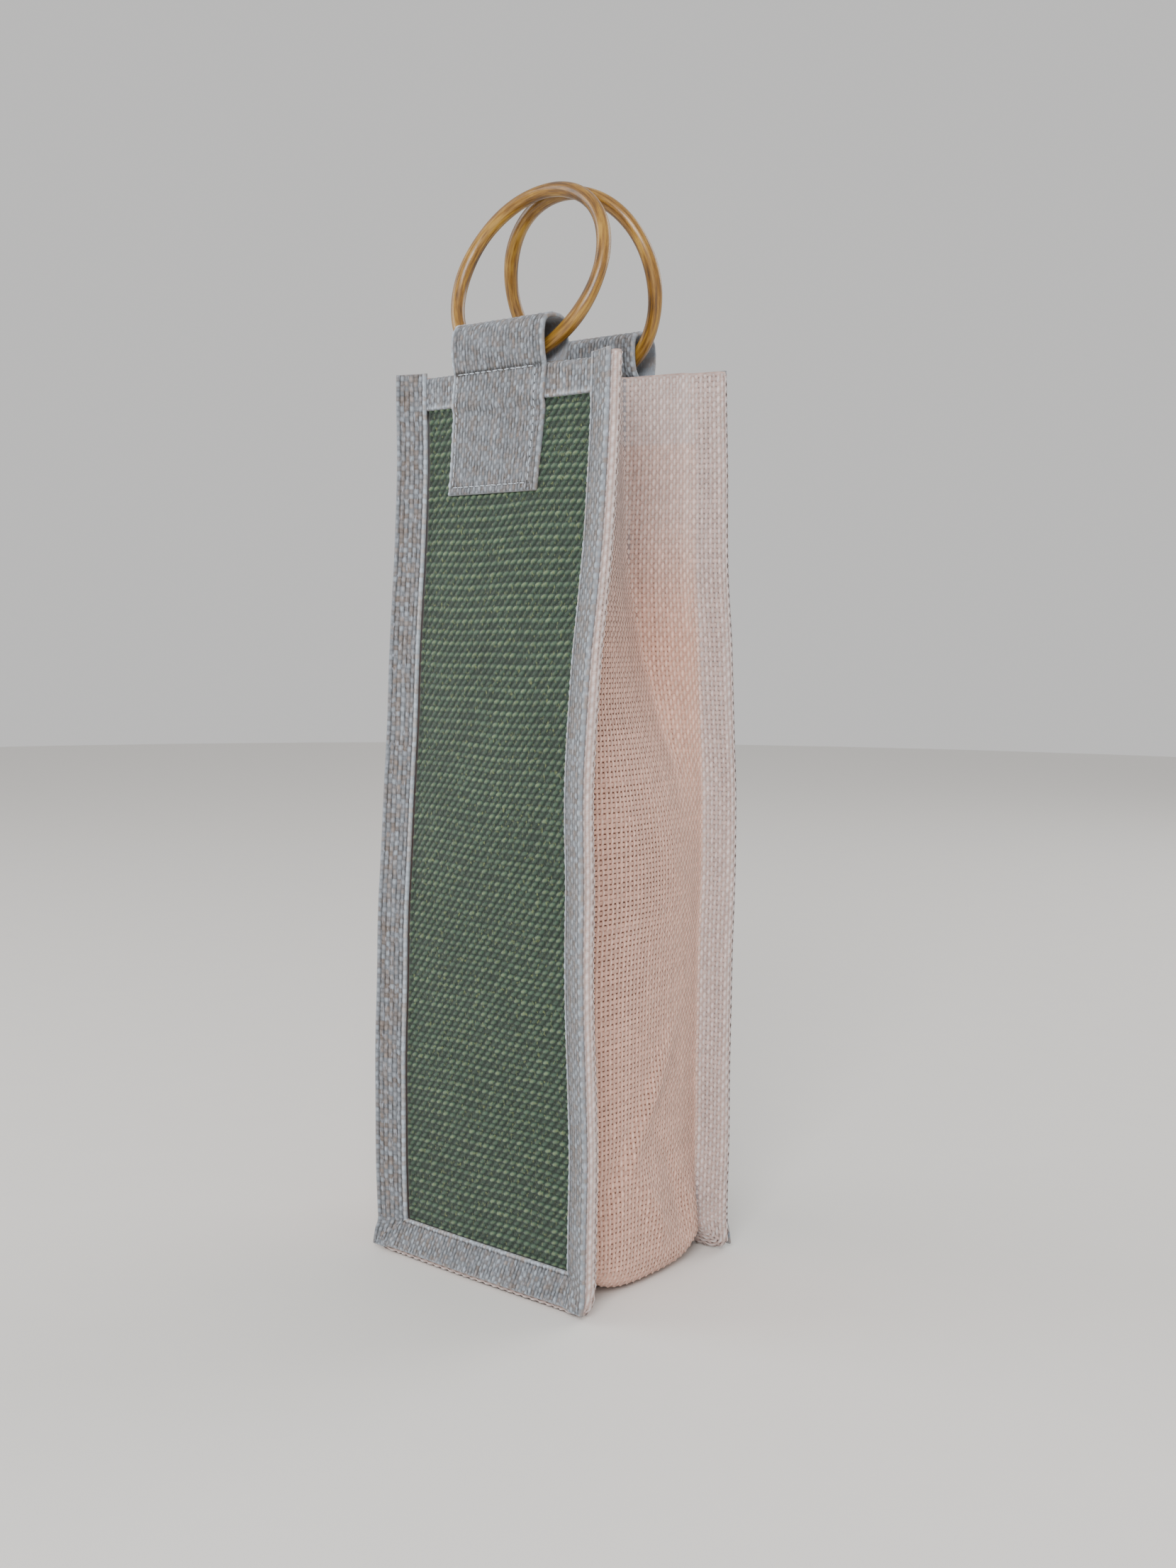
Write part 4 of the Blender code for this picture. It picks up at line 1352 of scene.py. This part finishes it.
def build_ring(side, colours):
    """One cane ring, slightly uneven."""
    joint = next(joint for joint in frame["joints"] if joint["child"] == side + "_handle")
    low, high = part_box(side + "_ring")
    corners = frame["nodes"][side + "_ring"].data.vertices
    centre = sum((corner.co for corner in corners), Vector()) / len(corners)
    rise = centre - Vector(joint["pos_m"])
    radius = rise.length
    tube = (high.x - low.x) / 2 - radius
    rise.normalize()
    axis = Vector((1, 0, 0)).cross(rise)
    full = 2 * math.pi
    turn, round_tube = np.meshgrid(np.linspace(0, full, 145), np.linspace(0, full, 21), indexing="ij")
    phase = 0.0 if side == FRONT else 2.2
    swell = 1 + 0.03 * np.sin(3 * turn + phase) + 0.025 * np.sin(7 * turn + 1 + phase) - 0.02
    away = radius + tube * swell * np.cos(round_tube)
    aside = tube * swell * np.sin(round_tube)
    spread = np.sin(turn)[..., None] * np.array((1, 0, 0)) - np.cos(turn)[..., None] * np.array(rise)
    points = np.array(centre) + away[..., None] * spread + aside[..., None] * np.array(axis)
    mesh = grid_mesh(side + "_cane_ring", points)
    store_uv(mesh, flat_uv(tube * round_tube, radius * turn))
    with edited(mesh) as shape:
        bmesh.ops.remove_doubles(shape, verts=shape.verts, dist=WELD_GAP)
        bmesh.ops.recalc_face_normals(shape, faces=shape.faces)
    mesh.shade_smooth()
    piece = new_object(side + "_cane_ring", mesh)
    dress(piece, cane_finish(colours), body=side + "_handle", nodes=[side + "_ring"])


# The stage


def build_stage(colours):
    """A pale floor, soft studio light and the photograph's camera."""
    mesh = bpy.data.meshes.new("studio_floor")
    with edited(mesh) as shape:
        bmesh.ops.create_circle(shape, cap_ends=True, segments=64, radius=3.0)
    floor = new_object("studio_floor", mesh)
    mesh.materials.append(floor_finish(colours))

    world = bpy.data.worlds.new("studio")
    world.use_nodes = True
    world.node_tree.nodes["Background"].inputs["Color"].default_value = (0.96, 0.95, 0.94, 1)
    world.node_tree.nodes["Background"].inputs["Strength"].default_value = 0.75
    bpy.context.scene.world = world
    target = Vector((0, 0, 0.18))
    for name, place, size, power in (
        ("key_light", (0.75, -1.15, 0.95), 0.7, 22),
        ("left_light", (-1.3, -0.8, 0.9), 0.9, 9),
        ("back_light", (0.5, 1.4, 1.1), 1.0, 10),
    ):
        lamp = bpy.data.lights.new(name, "AREA")
        lamp.size = size
        lamp.energy = power
        light = new_object(name, lamp)
        light.location = place
        light.rotation_euler = (target - Vector(place)).to_track_quat("-Z", "Y").to_euler()

    lens = bpy.data.cameras.new("photo_camera")
    lens.sensor_fit = "VERTICAL"
    lens.sensor_height = SENSOR_HEIGHT
    lens.lens = FOCAL_LENGTH / PHOTO_HEIGHT * SENSOR_HEIGHT
    lens.clip_start = 0.01
    camera = new_object("photo_camera", lens)
    right = Vector((math.cos(CAMERA_YAW), math.sin(CAMERA_YAW), 0))
    flat = Vector((-math.sin(CAMERA_YAW), math.cos(CAMERA_YAW), 0))
    ahead = flat * math.cos(CAMERA_PITCH) - Vector((0, 0, math.sin(CAMERA_PITCH)))
    above = right.cross(ahead)
    rolled_right = right * math.cos(CAMERA_ROLL) + above * math.sin(CAMERA_ROLL)
    rolled_above = above * math.cos(CAMERA_ROLL) - right * math.sin(CAMERA_ROLL)
    turned = Matrix((rolled_right, rolled_above, -ahead)).transposed().to_4x4()
    camera.matrix_world = Matrix.Translation(CAMERA_PLACE) @ turned
    bpy.context.scene.camera = camera


# Operators, panel and registration


class BagOperator:
    """What the operators share: each makes its pieces from the scene's own settings."""

    def execute(self, context):
        self.make(context.scene.bag_weave, context.scene.bag_colours)
        return {"FINISHED"}


class BOTTLEBAG_OT_panels(BagOperator, bpy.types.Operator):
    """Weave the two green panels"""

    bl_idname = "bottle_bag.panels"
    bl_label = "Green Panels"

    def make(self, weave, colours):
        for side in (FRONT, BACK):
            build_panel(side, weave, colours)


class BOTTLEBAG_OT_tapes(BagOperator, bpy.types.Operator):
    """Weave the tapes over the seams and over the top edges"""

    bl_idname = "bottle_bag.tapes"
    bl_label = "Tapes"

    def make(self, weave, colours):
        for side in (FRONT, BACK):
            build_binding(side, weave, colours)
            build_band(side, weave, colours)


class BOTTLEBAG_OT_tabs(BagOperator, bpy.types.Operator):
    """Make the two tabs with their loops"""

    bl_idname = "bottle_bag.tabs"
    bl_label = "Tabs"

    def make(self, weave, colours):
        for side in (FRONT, BACK):
            build_tab(side, weave, colours)


class BOTTLEBAG_OT_gusset(BagOperator, bpy.types.Operator):
    """Weave the gusset that makes both sides and the base"""

    bl_idname = "bottle_bag.gusset"
    bl_label = "Gusset"

    def make(self, weave, colours):
        build_gusset(weave, colours)


class BOTTLEBAG_OT_stitches(BagOperator, bpy.types.Operator):
    """Sew the tapes and the tabs"""

    bl_idname = "bottle_bag.stitches"
    bl_label = "Stitches"

    def make(self, weave, colours):
        build_stitches(weave, colours)


class BOTTLEBAG_OT_rings(BagOperator, bpy.types.Operator):
    """Make the two cane rings"""

    bl_idname = "bottle_bag.rings"
    bl_label = "Rings"

    def make(self, weave, colours):
        for side in (FRONT, BACK):
            build_ring(side, colours)


class BOTTLEBAG_OT_stage(BagOperator, bpy.types.Operator):
    """Set up the floor, the lights and the camera"""

    bl_idname = "bottle_bag.stage"
    bl_label = "Stage"

    def make(self, weave, colours):
        build_stage(colours)


OPERATORS = (
    BOTTLEBAG_OT_panels,
    BOTTLEBAG_OT_tapes,
    BOTTLEBAG_OT_tabs,
    BOTTLEBAG_OT_gusset,
    BOTTLEBAG_OT_stitches,
    BOTTLEBAG_OT_rings,
    BOTTLEBAG_OT_stage,
)


class BOTTLEBAG_PT_sidebar(bpy.types.Panel):
    """The bag's pieces, sizes and colours"""

    bl_idname = "BOTTLEBAG_PT_sidebar"
    bl_label = "Bottle Bag"
    bl_space_type = "VIEW_3D"
    bl_region_type = "UI"
    bl_category = "Bottle Bag"

    def draw(self, context):
        for operator in OPERATORS:
            self.layout.operator(operator.bl_idname)
        for group in (context.scene.bag_weave, context.scene.bag_colours):
            box = self.layout.box()
            for name in group.__annotations__:
                box.prop(group, name)


CLASSES = (BagWeave, BagColours, *OPERATORS, BOTTLEBAG_PT_sidebar)


def register():
    for made in CLASSES:
        bpy.utils.register_class(made)
    bpy.types.Scene.bag_weave = bpy.props.PointerProperty(type=BagWeave)
    bpy.types.Scene.bag_colours = bpy.props.PointerProperty(type=BagColours)


def unregister():
    del bpy.types.Scene.bag_colours
    del bpy.types.Scene.bag_weave
    for made in reversed(CLASSES):
        bpy.utils.unregister_class(made)


def main():
    register()
    bpy.ops.bottle_bag.stage()
    bpy.ops.bottle_bag.panels()
    bpy.ops.bottle_bag.tapes()
    bpy.ops.bottle_bag.tabs()
    bpy.ops.bottle_bag.gusset()
    bpy.ops.bottle_bag.stitches()
    bpy.ops.bottle_bag.rings()


if __name__ == "__main__":
    main()
